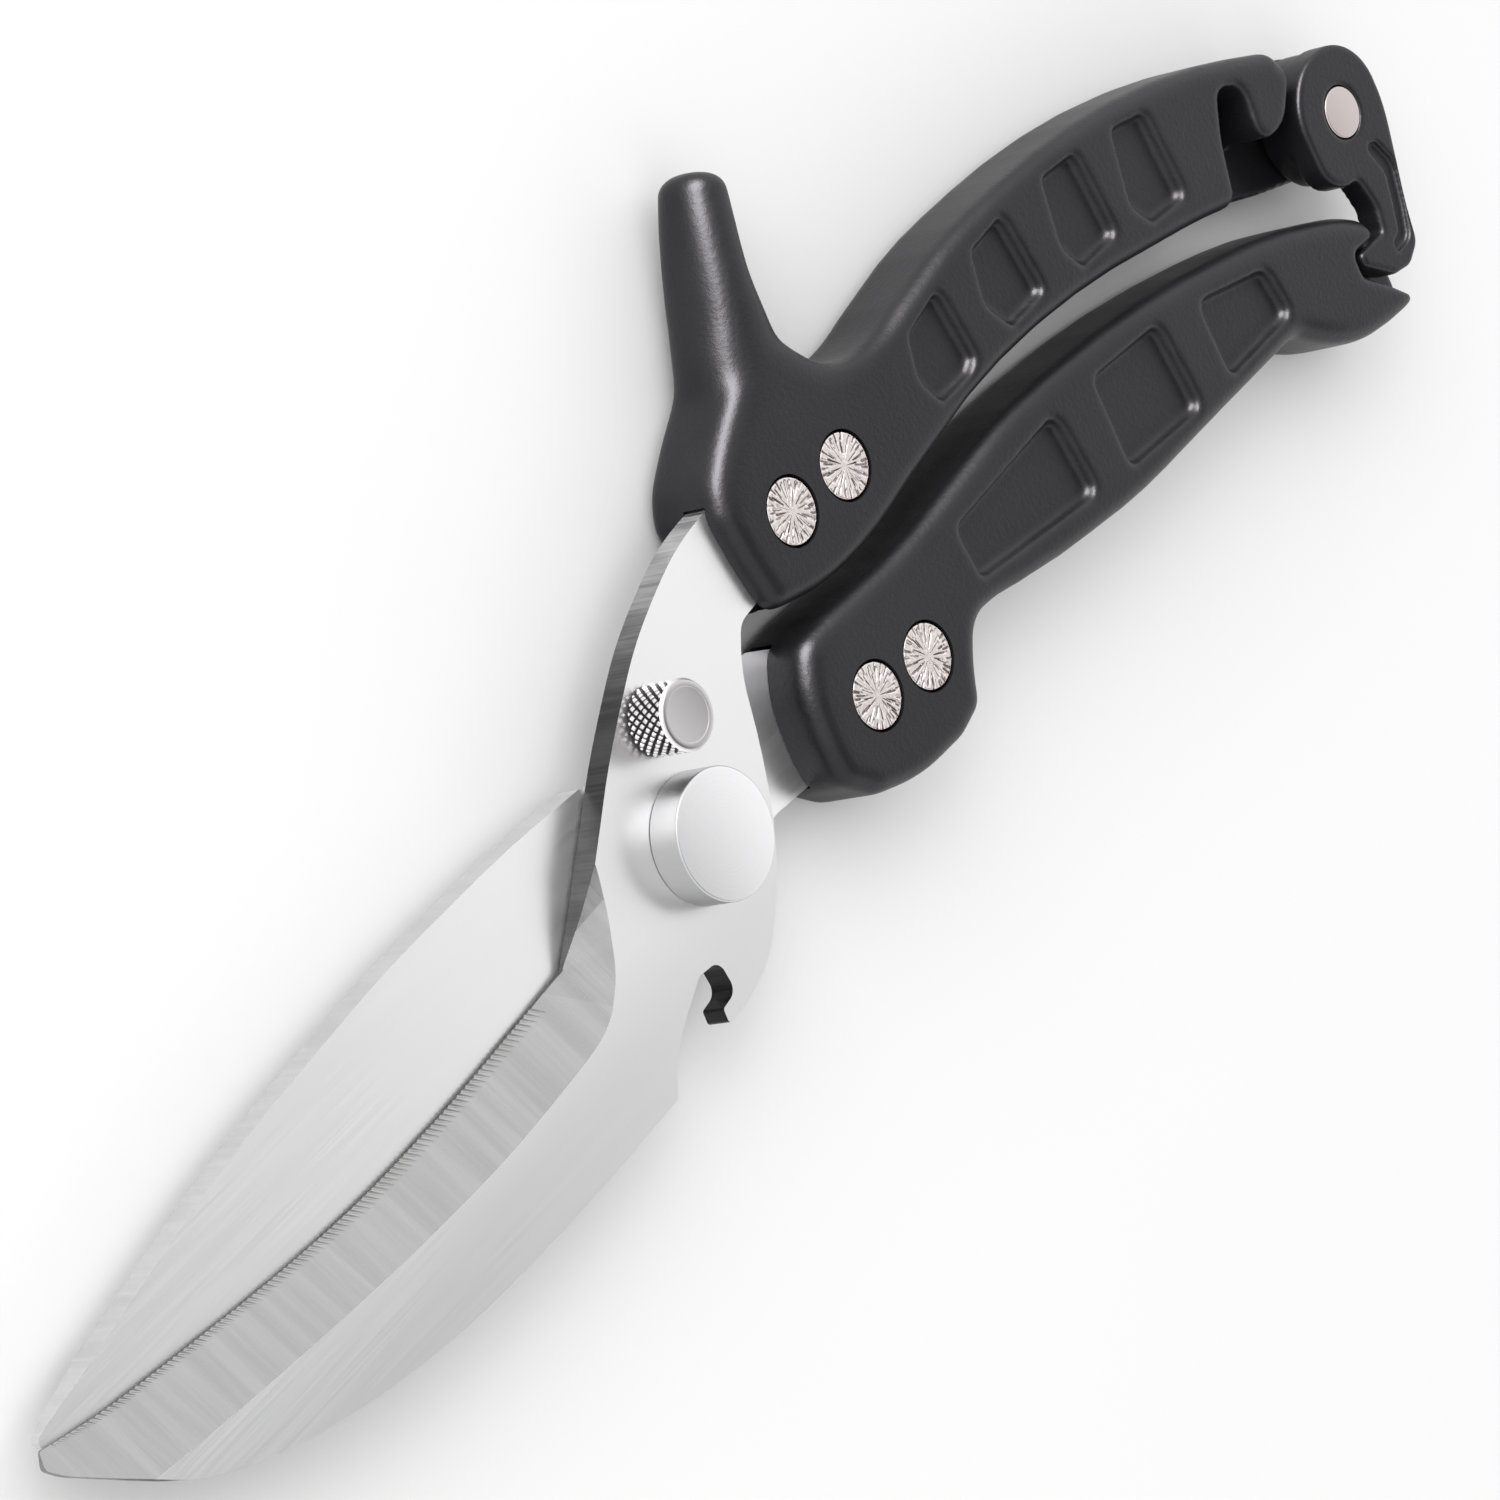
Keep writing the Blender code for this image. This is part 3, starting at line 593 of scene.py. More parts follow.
NYLON = moulded_nylon()
# Painted light: the rear blade's flats are a lighter copy of the same steel as the front blade's, and both
# are painted lighter towards the pivot.
FRONT_ROLLED = rolled_steel("front_blade_steel", 0.81, 0.84, 1.03)
REAR_ROLLED = rolled_steel("rear_blade_steel", 0.85, 0.87, 1.14)
GROUND = ground_steel()
# Painted shade: the serration walls get a darker copy of the blade steel, standing for the shade in the
# grooves.
TOOTH_STEEL = cut_steel("serration_steel", (0.20, 0.20, 0.20), (0.30, 0.295, 0.29))
# Painted light and shade on the cut outlines: the front blade's is a dark copy that stands for the dark it
# reflects, painted lighter towards the handle; the rear blade's is a light copy, a little lighter towards
# +X.
FRONT_CUT = cut_steel("dark_cut_steel", (0.045, 0.045, 0.045), (0.085, 0.085, 0.085), 8.5, (-4.0, 24.0))
REAR_CUT = cut_steel("light_cut_steel", (0.60, 0.60, 0.60), (0.67, 0.67, 0.67), 1.1)
CAP_STEEL = turned_steel("turned_cap_steel", (0.80, 0.80, 0.81), 0.34)
KNOB_STEEL = turned_steel("turned_knob_steel", (0.76, 0.74, 0.745), 0.30, KNOB_AT)
LATCH_PIN_STEEL = turned_steel("turned_pin_steel", (0.50, 0.45, 0.44), 0.36, LATCH_AT)
RIVET_STEEL = pressed_steel("pressed_rivet_steel", (0.72, 0.66, 0.64))
SPRING_STEEL = pressed_steel("drawn_spring_steel", (0.42, 0.42, 0.43))

# Darker where less light gets to: the notch side of the blade, the cap's side, the bottoms of the grooves.
toned(FRONT_ROLLED, from_notch, 0.85, 1.0, -14.0, 2.0)
toned(CAP_STEEL, off_axis, 1.0, 0.52, CAP_R - 0.30, CAP_R - 0.02)
toned(KNOB_STEEL, knurl_radius, 0.05, 1.0, KNOB_R - 0.24, KNOB_R - 0.06)
# Painted shade: the top of the knob, its flat face and the top of its chamfer, darker than the knurl.
toned(KNOB_STEEL, height, 1.0, 0.62, KNOB_TOP - 0.3, KNOB_TOP - 0.05)
toned(RIVET_STEEL, off_rivet_middle, 0.32, 1.0, HANDLE_T / 2 - 0.26, HANDLE_T / 2 - 0.13)


def dress(piece, materials, choose=None):
    """Gives the piece its materials; choose picks the one for each face."""
    piece.data.materials.clear()
    for material in materials:
        piece.data.materials.append(material)
    for face in piece.data.polygons:
        face.material_index = choose(face) if choose else 0


def blade_finish(face):
    """Flat faces, ground faces and cut edges, told apart by their slope."""
    slope = abs(face.normal.z)
    return 0 if slope > 0.995 else 1 if slope > 0.25 else 2


def front_blade_finish(face):
    """As blade_finish, but the walls of the serrations, which lean along X, are told from the bevel."""
    in_teeth = face.center.x < SERRATED_BEFORE_X * MM and face.center.y > SERRATED_ABOVE_Y * MM
    return 3 if in_teeth and abs(face.normal.x) > 0.2 else blade_finish(face)


def stands_for(piece, body, slot, *nodes):
    """Puts the piece on its body, in the place of the plain nodes."""
    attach(piece, body)
    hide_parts(*nodes)


# ---------------------------------------------------------------- blades

def grind_tool(name, stations, mating_z, outward):
    """The tool of a one-sided grind. A station is (edge x, edge y, border x, border y)."""
    rings = []
    for ex, ey, bx, by in (tuple(s) for s in through(stations, 12)):
        rise = BLADE_T - LAND
        ring = []
        for share, lift in ((-1.5, 0), (1.25, 0), (1.25, 4), (-1.5, 8)):
            depth = LAND + rise * share + lift
            ring.append((ex + (bx - ex) * share, ey + (by - ey) * share, mating_z + outward * depth))
        rings.append(ring)
    return stacked(name, rings)


def serration_tree():
    """Tapered cutters spaced along an edge, all pointing the same way."""
    tree, sizes = shape_tree("serrations", ["Pitch", "Length", "Radius", "Heading", "Dip"])
    curve = node(tree, "GeometryNodeMeshToCurve", {"Mesh": sizes["Geometry"]})
    spaced = node(tree, "GeometryNodeResampleCurve", {"Curve": curve.outputs[0]})
    if hasattr(spaced, "mode"):
        spaced.mode = "LENGTH"
    tree.links.new(sizes["Pitch"], spaced.inputs["Length"])
    points = node(tree, "GeometryNodeCurveToPoints", {"Curve": spaced.outputs[0]}, mode="EVALUATED")
    cone = node(tree, "GeometryNodeMeshCone", {
        "Vertices": 8, "Radius Bottom": sizes["Radius"], "Depth": sizes["Length"],
        "Radius Top": calc(tree, "MULTIPLY", sizes["Radius"], 0.4),
    })
    turn = node(tree, "ShaderNodeCombineXYZ", {1: sizes["Dip"], 2: sizes["Heading"]})
    copies = node(tree, "GeometryNodeInstanceOnPoints", {
        "Points": points.outputs[0], "Instance": cone.outputs[0], "Rotation": turn.outputs[0],
    })
    end_tree(tree, copies.outputs[0], GROUND)
    return tree


def serrations():
    """Shallow grooves that run in from the front blade's edge at a slant."""
    edge = through([
        (-31.0, -3.6, 0.0), (-38.0, -4.6, 0.0), (-49.4, -6.1, 0.0), (-64.3, -7.4, 0.0), (-78.0, -7.5, 0.0),
        (-91.8, -7.0, 0.0), (-107.0, -6.1, 0.0), (-114.5, -5.2, 0.0),
    ], 10)
    # The cutters start a little outside the edge, just under its land, and dip as they run in.
    out_x, out_y, start_z, heading, dip = -0.23, 0.20, FRONT_Z + 0.36, -41.0, 17.0
    mesh = bpy.data.meshes.new("serration_tools")
    vertices = [((p[0] + out_x) * MM, (p[1] + out_y) * MM, start_z * MM) for p in edge]
    mesh.from_pydata(vertices, [(i, i + 1) for i in range(len(edge) - 1)], [])
    tools = bpy.data.objects.new("serration_tools", mesh)
    bpy.context.scene.collection.objects.link(tools)
    grow(tools, serration_tree(), {
        "Pitch": 0.86 * MM, "Length": 2.0 * MM, "Radius": 0.27 * MM, "Heading": radians(heading),
        "Dip": radians(90.0 - dip),
    })
    return tools


def rivet_holes(handle, z_low, z_high):
    """The holes in a tang for the rivets of one handle."""
    return [
        drill(name + "_hole", place, RIVET_SHANK_R + GAP, z_low - 1, z_high + 1)
        for name, place in RIVETS.items() if handle in name
    ]


def front_blade():
    piece = slab("front_blade_ground", outline([
        (-15.8, 5.5), (-8.3, 12.8), (-2.6, 17.5), (3.9, 22.4), (9.8, 25.6), (16.4, 28.5), (24.0, 30.0),
        (40.0, 29.6), (50.0, 28.6, 4), (50.0, 19.4, 4), (30.0, 18.2, 6), (20.4, 16.6, 3), (17.1, 11.8),
        (14.9, 3.9), (11.6, -4.5), (7.4, -11.1), (1.6, -16.8), (-4.0, -18.9), (-8.4, -19.6, 0.5),
        (-8.2, -17.6, 0.4), (-5.3, -17.0, 1.6), (-5.6, -12.8, 1.6), (-9.2, -12.7, 1.0), (-14.5, -15.8),
        (-18.4, -19.0), (-20.2, -22.1, 0.6), (-36.0, -24.0), (-50.0, -25.1), (-66.6, -25.5),
        (-82.9, -23.7), (-94.6, -20.9), (-102.9, -17.5), (-107.5, -14.3), (-115.6, -8.4),
        (-117.2, -6.6, 0.8), (-116.3, -4.8, 0.4), (-107.0, -6.1), (-91.8, -7.0), (-78.0, -7.5),
        (-64.3, -7.4), (-49.4, -6.1), (-36.0, -4.3), (-24.6, -2.5, 0.3),
    ], 2.0), FRONT_Z, BLADE_TOP)
    tools = [
        grind_tool("front_grind", [
            (-25.6, 3.4, -15.4, 6.8), (-25.2, 0.4, -16.2, 3.6), (-24.7, -2.2, -18.2, -1.8),
            (-26.6, -2.9, -21.0, -6.8), (-31.0, -3.6, -26.0, -10.4), (-38.0, -4.6, -36.5, -12.4),
            (-49.4, -6.1, -49.0, -13.9), (-64.3, -7.4, -64.5, -14.7), (-78.0, -7.5, -78.5, -14.9),
            (-91.8, -7.0, -92.5, -14.8), (-107.0, -6.1, -108.0, -14.3), (-125.0, -4.6, -126.0, -13.0),
        ], FRONT_Z, 1),
        drill("pivot_hole", (0, 0), PIVOT_R + GAP, FRONT_Z - 1, BLADE_TOP + 1),
        drill("sleeve_hole", KNOB_AT, SLEEVE_R + GAP, FRONT_Z - 1, BLADE_TOP + 1),
        drill("leg_hole", SPRING_LEG_AT, 0.75, FRONT_Z - 1, BLADE_TOP + 1, 32),
    ]
    cut(piece, tools + rivet_holes("upper", FRONT_Z, BLADE_TOP))
    cut(piece, [serrations()])
    crisp(piece, 0.07, 8)
    dress(piece, [FRONT_ROLLED, GROUND, FRONT_CUT, TOOTH_STEEL], front_blade_finish)
    stands_for(piece, "upper", "satin_steel", "front_blade")


def rear_blade():
    knob_far = Vector(KNOB_AT).length
    knob_turn = Vector((1, 0)).angle(Vector(KNOB_AT))
    half = (LOCK_PIN_R + GAP) / knob_far
    turns = spread(knob_turn - half, knob_turn + half + radians(OPENING), 20)
    track = [(LOCK_TRACK_R * cos(a), LOCK_TRACK_R * sin(a), 0.1) for a in turns]
    shoulder = Vector(track[0][:2]) * (1 + 1.3 / LOCK_TRACK_R)
    piece = slab("rear_blade_ground", outline([
        (22.6, 12.0, 2), (17.0, 12.6), (9.0, 13.0), (*shoulder, 0.6), *track, (-9.6, 12.4, 0.3),
        (-23.0, 12.4), (-33.0, 11.7), (-46.5, 10.7), (-60.4, 8.6), (-74.6, 6.4), (-90.9, 2.5),
        (-105.2, -1.4), (-112.6, -3.1), (-115.6, -4.0, 0.8), (-115.4, -5.8, 0.6), (-103.0, -7.9),
        (-90.0, -9.2), (-75.0, -10.0), (-60.0, -9.9), (-45.0, -9.2), (-30.0, -8.2), (-20.5, -7.2, 0.3),
        (-18.0, -11.0, 3), (-9.0, -12.0), (1.0, -12.2), (9.0, -8.6), (15.0, -5.5, 6), (30.0, -5.6, 6),
        (49.0, -4.6, 4), (49.0, 4.6, 4), (31.0, 8.4, 8),
    ], 2.0), REAR_Z, REAR_Z + BLADE_T)
    key = outline([
        (-PIVOT_FLAT - GAP, -4, 0.5), (PIVOT_FLAT + GAP, -4, 0.5),
        (PIVOT_FLAT + GAP, 4, 0.5), (-PIVOT_FLAT - GAP, 4, 0.5),
    ])
    tools = [
        grind_tool("rear_grind", [
            (-19.0, -6.0, -15.0, 1.5), (-22.0, -7.2, -19.0, 0.2), (-30.0, -8.2, -28.0, -0.6),
            (-45.0, -9.2, -44.5, -1.4), (-60.0, -9.9, -60.0, -2.0), (-75.0, -10.0, -75.5, -2.4),
            (-90.0, -9.2, -91.0, -2.2), (-103.0, -7.9, -105.0, -1.2), (-124.0, -4.6, -127.0, 3.0),
        ], REAR_Z + BLADE_T, -1),
        slab("key_hole", key, REAR_Z - 1, REAR_Z + BLADE_T + 1),
    ]
    cut(piece, tools + rivet_holes("lower", REAR_Z, REAR_Z + BLADE_T))
    crisp(piece, 0.07, 8)
    dress(piece, [REAR_ROLLED, GROUND, REAR_CUT], blade_finish)
    stands_for(piece, "lower", "satin_steel", "rear_blade")


# ---------------------------------------------------------------- handles

def pocket_tools(name, shapes):
    """Grip pockets with a little draft, the same in the front and the rear face."""
    sides = (("front", HANDLE_T - POCKET_DEPTH, HANDLE_T), ("rear", POCKET_DEPTH, 0.0))
    tools = []
    for i, points in enumerate(shapes):
        rim = counter_clockwise(outline(points))
        bottom, outer = inset(rim, POCKET_DRAFT), inset(rim, -POCKET_DRAFT)
        for side, z_bottom, z_rim in sides:
            levels = ((bottom, z_bottom), (outer, 2 * z_rim - z_bottom))
            tools.append(stacked(f"{name}_{side}_{i}", [
                [(p.x, p.y, z) for p in ring] for ring, z in levels
            ]))
    return tools


def rivet_tools(name):
    """The bore of a rivet and the seats of its two heads."""
    seat = RIVET_R + GAP
    return [
        drill(name + "_bore", RIVETS[name], RIVET_SHANK_R + GAP, -1, HANDLE_T + 1),
        drill(name + "_front", RIVETS[name], seat, HANDLE_T - RIVET_HEAD_T - GAP, HANDLE_T + 1),
        drill(name + "_rear", RIVETS[name], seat, -1, RIVET_HEAD_T + GAP),
    ]


def horn():
    """The finger horn: a bar that tapers both ways and turns from boxy at the root to round at the tip."""
    spine = through([
        (38.2, 35.0), (39.9, 41.1), (41.3, 45.8), (42.5, 49.8), (43.9, 53.3), (45.3, 56.4), (46.7, 59.3),
    ], 6)
    count = len(spine)
    widths = [p.x for p in through([(w, 0) for w in (6.3, 5.8, 4.75, 4.05, 3.8, 3.65, 3.5)], 6)]
    sections = []
    for i, (centre, width) in enumerate(zip(spine, widths)):
        share = i / (count - 1)
        sections.append((centre, width, 6.35 - 2.1 * share ** 1.3, 2.7 - 0.4 * share))
    end, width, depth, power = sections[-1]
    ahead = (spine[-1] - spine[-2]).normalized()
    for k in range(1, 11):
        angle = pi / 2 * k / 10.3
        sections.append((end + ahead * 0.72 * width * sin(angle), width * cos(angle) ** 0.75,
                         depth * cos(angle) ** 0.75, power))
    rings = []
    for i, (centre, width, depth, power) in enumerate(sections):
        before, after = sections[max(0, i - 1)][0], sections[min(len(sections) - 1, i + 1)][0]
        along = (after - before).normalized()
        across = Vector((along.y, -along.x))
        ring = []
        for k in range(48):
            c, s = cos(2 * pi * k / 48), sin(2 * pi * k / 48)
            side = width * abs(c) ** (2 / power) * (1 if c > 0 else -1)
            up = depth * abs(s) ** (2 / power) * (1 if s > 0 else -1)
            place = centre + across * side
            ring.append((place.x, place.y, HANDLE_T / 2 + up))
        rings.append(ring)
    return stacked("horn", rings)


def upper_handle():
    piece = slab("upper_handle_moulding", outline([
        (24.2, 15.6, 3), (31.8, 14.2), (38.0, 14.1), (45.5, 15.1), (60.4, 19.0), (75.9, 21.6),
        (93.0, 21.8), (108.5, 20.3), (126.0, 17.6), (138.0, 13.8), (157.8, 9.6, 8.0), (157.8, 26.4, 8.0),
        (144.6, 26.6, 2.6), (142.8, 30.4, 2.6), (130.2, 34.9), (113.8, 38.2), (97.7, 39.3),
        (79.0, 38.3), (69.0, 36.4), (59.3, 33.7), (53.0, 33.4), (48.2, 36.0), (44.6, 41.0, 3),
        (36.6, 41.6, 4), (29.4, 37.2), (24.0, 32.4), (22.6, 28.6, 4), (23.0, 22.0),
    ]), 0, HANDLE_T, HANDLE_ROUND, HANDLE_ROUND)
    cut(piece, [horn()], "UNION")
    slot = outline([
        (10.0, 8.0), (25.6, 8.0), (26.4, 14.8, 3), (31.0, 17.8, 3), (50.4, 18.9, 4), (50.4, 29.0, 4),
        (40.0, 30.0), (24.0, 30.4), (16.2, 28.9), (9.0, 25.8),
    ])
    recess = outline([
        (124.3, 10.0, 1), (124.6, 18.4, 8), (127.0, 25.6, 8), (130.2, 31.4, 2.2), (134.6, 29.4, 2.2),
        (133.4, 21.6, 2.2), (139.0, 22.0, 5), (144.4, 27.6, 4), (146.0, 36.0), (170.0, 36.0), (170.0, 0.0),
        (124.3, 0.0, 1),
    ])
    tools = [
        slab("recess", recess, LUG_TOP, HANDLE_T + 1),
        *pocket_tools("upper_pocket", [
            [(62.6, 31.6, 1), (70.2, 33.8, 1), (71.3, 24.0, 1.2), (69.3, 22.8, 1), (63.0, 22.3, 1),
             (61.0, 26.4, 2)],
            [(78.2, 34.8, 1), (85.6, 36.0, 1), (86.9, 25.0, 1.2), (79.2, 24.1, 1), (76.5, 28.5, 2)],
            [(94.6, 36.5, 1), (101.9, 36.4, 1), (102.6, 24.7, 1.2), (94.8, 24.2, 1), (92.7, 28.0, 2)],
            [(109.4, 35.8, 1), (116.2, 34.8, 1), (116.7, 22.8, 1.2), (109.4, 22.9, 1), (106.9, 26.4, 2)],
        ]),
    ]
    cut(piece, tools)
    horn_root, crook, horn_shaft = (33.5, 36.5), (48.5, 37.5), (41.5, 47.0)
    moulded(piece, soft_spots=[(horn_root, 13.0, 160), (crook, 7.0, 120), (horn_shaft, 10.0, 40)])
    cut(piece, [
        slab("slot", slot, FRONT_Z - FIT, BLADE_TOP + FIT),
        drill("lug_bore", LATCH_AT, LATCH_PIN_R + FIT, -1, HANDLE_T + 1),
        *rivet_tools("rivet_upper_1"),
        *rivet_tools("rivet_upper_2"),
    ])
    crisp(piece, angle=55)
    dress(piece, [NYLON])
    stands_for(piece, "upper", "black_grip", "upper_handle")


def lower_handle():
    piece = slab("lower_handle_moulding", outline([
        (21.5, -1.5), (22.0, -6.0, 4), (26.6, -10.0, 5), (34.4, -12.0), (43.0, -11.6, 6), (47.6, -10.0, 3),
        (49.8, -5.4), (53.0, -1.2), (58.0, -1.0), (66.7, -2.3), (78.6, -3.1), (89.2, -3.4),
        (102.1, -2.4), (113.1, -1.7), (125.4, -0.9, 4), (131.0, -5.0), (136.6, -7.6), (143.0, -8.2),
        (149.6, -7.8, 2.5), (150.0, 1.8, 4), (143.6, 7.0), (131.8, 11.2), (117.0, 14.0), (107.6, 15.2),
        (98.5, 16.1), (89.4, 16.4), (78.0, 16.4), (70.0, 15.8), (60.0, 14.0), (50.0, 12.2), (40.0, 11.4),
        (31.7, 11.4), (25.6, 10.6, 4), (22.4, 5.4),
    ]), 0, HANDLE_T, HANDLE_ROUND, HANDLE_ROUND)
    slot = outline([
        (15.0, -5.9), (30.0, -5.9, 6), (49.4, -4.9, 4), (49.4, 4.9, 4), (31.1, 8.7, 8), (24.0, 12.0, 1),
        (24.0, 16.0), (15.0, 16.0),
    ])
    notch = outline([
        (170.0, 10.0), (145.5, 10.0), (145.5, 2.8, 0.6), (140.8, 2.8, 0.8), (140.4, -0.4, 1),
        (143.5, -2.8, 2), (149.6, -8.4), (152.0, -10.6), (170.0, -10.6),
    ])
    tools = [
        slab("notch", notch, LATCH_ARM_Z - 0.4, HANDLE_T + 1),
        *pocket_tools("lower_pocket", [
            [(55.8, 9.4, 1.4), (79.4, 12.4, 2), (80.5, 0.8, 1.6), (56.2, 2.2, 1.4)],
            [(87.8, 12.7, 1.6), (102.4, 12.6, 1.6), (103.4, 0.4, 1.6), (87.4, 0.4, 1.6)],
            [(110.5, 11.5, 1.6), (124.4, 9.0, 1.8), (125.5, 2.0, 1.6), (110.4, 0.8, 1.6)],
        ]),
    ]
    cut(piece, tools)
    tail = (139.0, -9.5)
    moulded(piece, soft_spots=[(tail, 7.5, 40)])
    cut(piece, [
        slab("slot", slot, REAR_Z - FIT, REAR_Z + BLADE_T + FIT),
        *rivet_tools("rivet_lower_1"),
        *rivet_tools("rivet_lower_2"),
    ])
    crisp(piece, angle=55)
    dress(piece, [NYLON])
    stands_for(piece, "lower", "black_grip", "lower_handle")


def latch():
    """The latch: a disc on a barrel, an arm with a raised rib along its outer side, and a tongue."""
    piece = slab("latch_moulding", outline([
        (141.4, 26.6, 8.3), (158.0, 26.6, 8.3), (158.1, 16.0), (155.8, 9.0), (153.8, 3.0),
        (152.8, -1.6, 2.5), (149.8, -3.4, 2), (146.4, -3.1, 1.5), (141.6, 0.4, 0.7), (141.6, 2.1, 0.6),
        (147.4, 2.4, 0.5), (148.2, 5.6, 3), (147.2, 10.0, 1.5), (141.4, 10.0, 8.3),
    ]), LATCH_ARM_Z, HANDLE_T, 0.0, 0.6)
    cut(piece, [slab("barrel", circle(LATCH_AT, LATCH_R - 0.02), LUG_TOP + 1.0, HANDLE_T - 0.6)], "UNION")
    relief = outline([
        (151.0, 12.9, 0.6), (153.3, 12.4, 0.6), (155.1, 8.6, 3), (153.6, 3.6, 4), (151.9, -0.6, 2),
        (148.4, -1.1, 0.6), (148.4, 0.4, 0.6), (150.2, 0.9, 1.4), (151.4, 4.4, 4), (152.6, 8.4, 2),
    ])
    cut(piece, [
        slab("relief", relief, HANDLE_T - 0.9, HANDLE_T + 1),
        drill("pin_bore", LATCH_AT, LATCH_PIN_R + 0.12, 4, HANDLE_T + 1),
    ])
    moulded(piece, 0.25, 5, most_faces=50000)
    dress(piece, [NYLON])
    stands_for(piece, "latch", "black_grip", "latch")


# ---------------------------------------------------------------- turned pieces

def point_from(tree, sizes):
    """Where a point is from the centre in the plan, and how high."""
    position = node(tree, "GeometryNodeInputPosition").outputs[0]
    place = node(tree, "ShaderNodeSeparateXYZ", {0: position}).outputs
    x = calc(tree, "SUBTRACT", place[0], sizes["Centre X"])
    y = calc(tree, "SUBTRACT", place[1], sizes["Centre Y"])
    return x, y, place[2]


def star_tree():
    """Uneven radial grooves pressed into both flat ends of a rivet."""
    tree, sizes = shape_tree("rivet_star", ["Centre X", "Centre Y", "Radius", "Middle Z", "Depth", "Seed"])
    x, y, z = point_from(tree, sizes)
    share = calc(tree, "DIVIDE", length_of(tree, x, y), sizes["Radius"])
    turn = calc(tree, "ADD", calc(tree, "DIVIDE", calc(tree, "ARCTAN2", y, x), 2 * pi), 0.5)
    depth = None
    # Three rings of grooves: how many, how wide, where they begin and end as shares of the radius.
    rings = ((12, 0.12, 0.18, 0.62), (17, 0.16, 0.42, 0.8), (23, 0.22, 0.72, 0.97))
    for seed, (count, wide, begin, end) in enumerate(rings, 1):
        place = calc(tree, "MULTIPLY", turn, count)
        index = calc(tree, "FLOOR", place)
        seeded = calc(tree, "ADD", sizes["Seed"], float(seed))
        spans = ((0.3, 0.7), (begin - 0.08, begin + 0.1), (end - 0.08, end + 0.1), (0.4, 1.0))
        draws = [
            node(tree, "FunctionNodeRandomValue", {
                "ID": index, "Seed": calc(tree, "ADD", seeded, 7.0 * i), "Min": low, "Max": high,
            }, data_type="FLOAT")
            for i, (low, high) in enumerate(spans)
        ]
        shift, start, stop, strength = [
            next(o for o in draw.outputs if o.type == "VALUE" and o.enabled) for draw in draws
        ]
        off = calc(tree, "ABSOLUTE", calc(tree, "SUBTRACT", calc(tree, "FRACT", place), shift))
        groove = ramp(tree, off, wide * 0.35, wide, 1.0, 0.0)
        inner = ramp(tree, calc(tree, "SUBTRACT", share, start), -0.06, 0.04)
        outer = ramp(tree, calc(tree, "SUBTRACT", share, stop), -0.04, 0.05, 1.0, 0.0)
        within = calc(tree, "MULTIPLY", inner, outer)
        part = calc(tree, "MULTIPLY", calc(tree, "MULTIPLY", groove, strength), within)
        depth = part if depth is None else calc(tree, "MAXIMUM", depth, part)
    normal = node(tree, "GeometryNodeInputNormal").outputs[0]
    slope = calc(tree, "ABSOLUTE", node(tree, "ShaderNodeSeparateXYZ", {0: normal}).outputs[2])
    on_end = calc(tree, "GREATER_THAN", slope, 0.8)
    side = calc(tree, "SIGN", calc(tree, "SUBTRACT", z, sizes["Middle Z"]))
    inwards = calc(tree, "MULTIPLY", depth, calc(tree, "MULTIPLY", sizes["Depth"], -1.0))
    sink = calc(tree, "MULTIPLY", inwards, calc(tree, "MULTIPLY", side, on_end))
    moved = node(tree, "GeometryNodeSetPosition", {
        "Geometry": sizes["Geometry"], "Offset": node(tree, "ShaderNodeCombineXYZ", {2: sink}).outputs[0],
    })
    end_tree(tree, moved.outputs[0], RIVET_STEEL)
    return tree


def rivets():
    tree = star_tree()
    head = RIVET_R
    bottom, top = RIVET_SUNK, HANDLE_T - RIVET_SUNK
    fine = [head * 0.93 * k / 26 for k in range(1, 27)]
    for i, (name, centre) in enumerate(RIVETS.items()):
        profile = [
            (0, bottom), *((r, bottom) for r in fine), (head, bottom, 0.25), (head, RIVET_HEAD_T),
            (RIVET_SHANK_R, RIVET_HEAD_T), (RIVET_SHANK_R, HANDLE_T - RIVET_HEAD_T),
            (head, HANDLE_T - RIVET_HEAD_T), (head, top, 0.25), *((r, top) for r in reversed(fine)),
            (0, top),
        ]
        piece = lathe(name + "_star", profile, centre, 192)
        grow(piece, tree, {
            "Centre X": centre[0] * MM, "Centre Y": centre[1] * MM, "Radius": head * MM,
            "Middle Z": HANDLE_T / 2 * MM, "Depth": 0.22 * MM, "Seed": 11.0 * i,
        })
        crisp(piece, angle=35)
        stands_for(piece, "upper" if "upper" in name else "lower", "bright_steel", name)


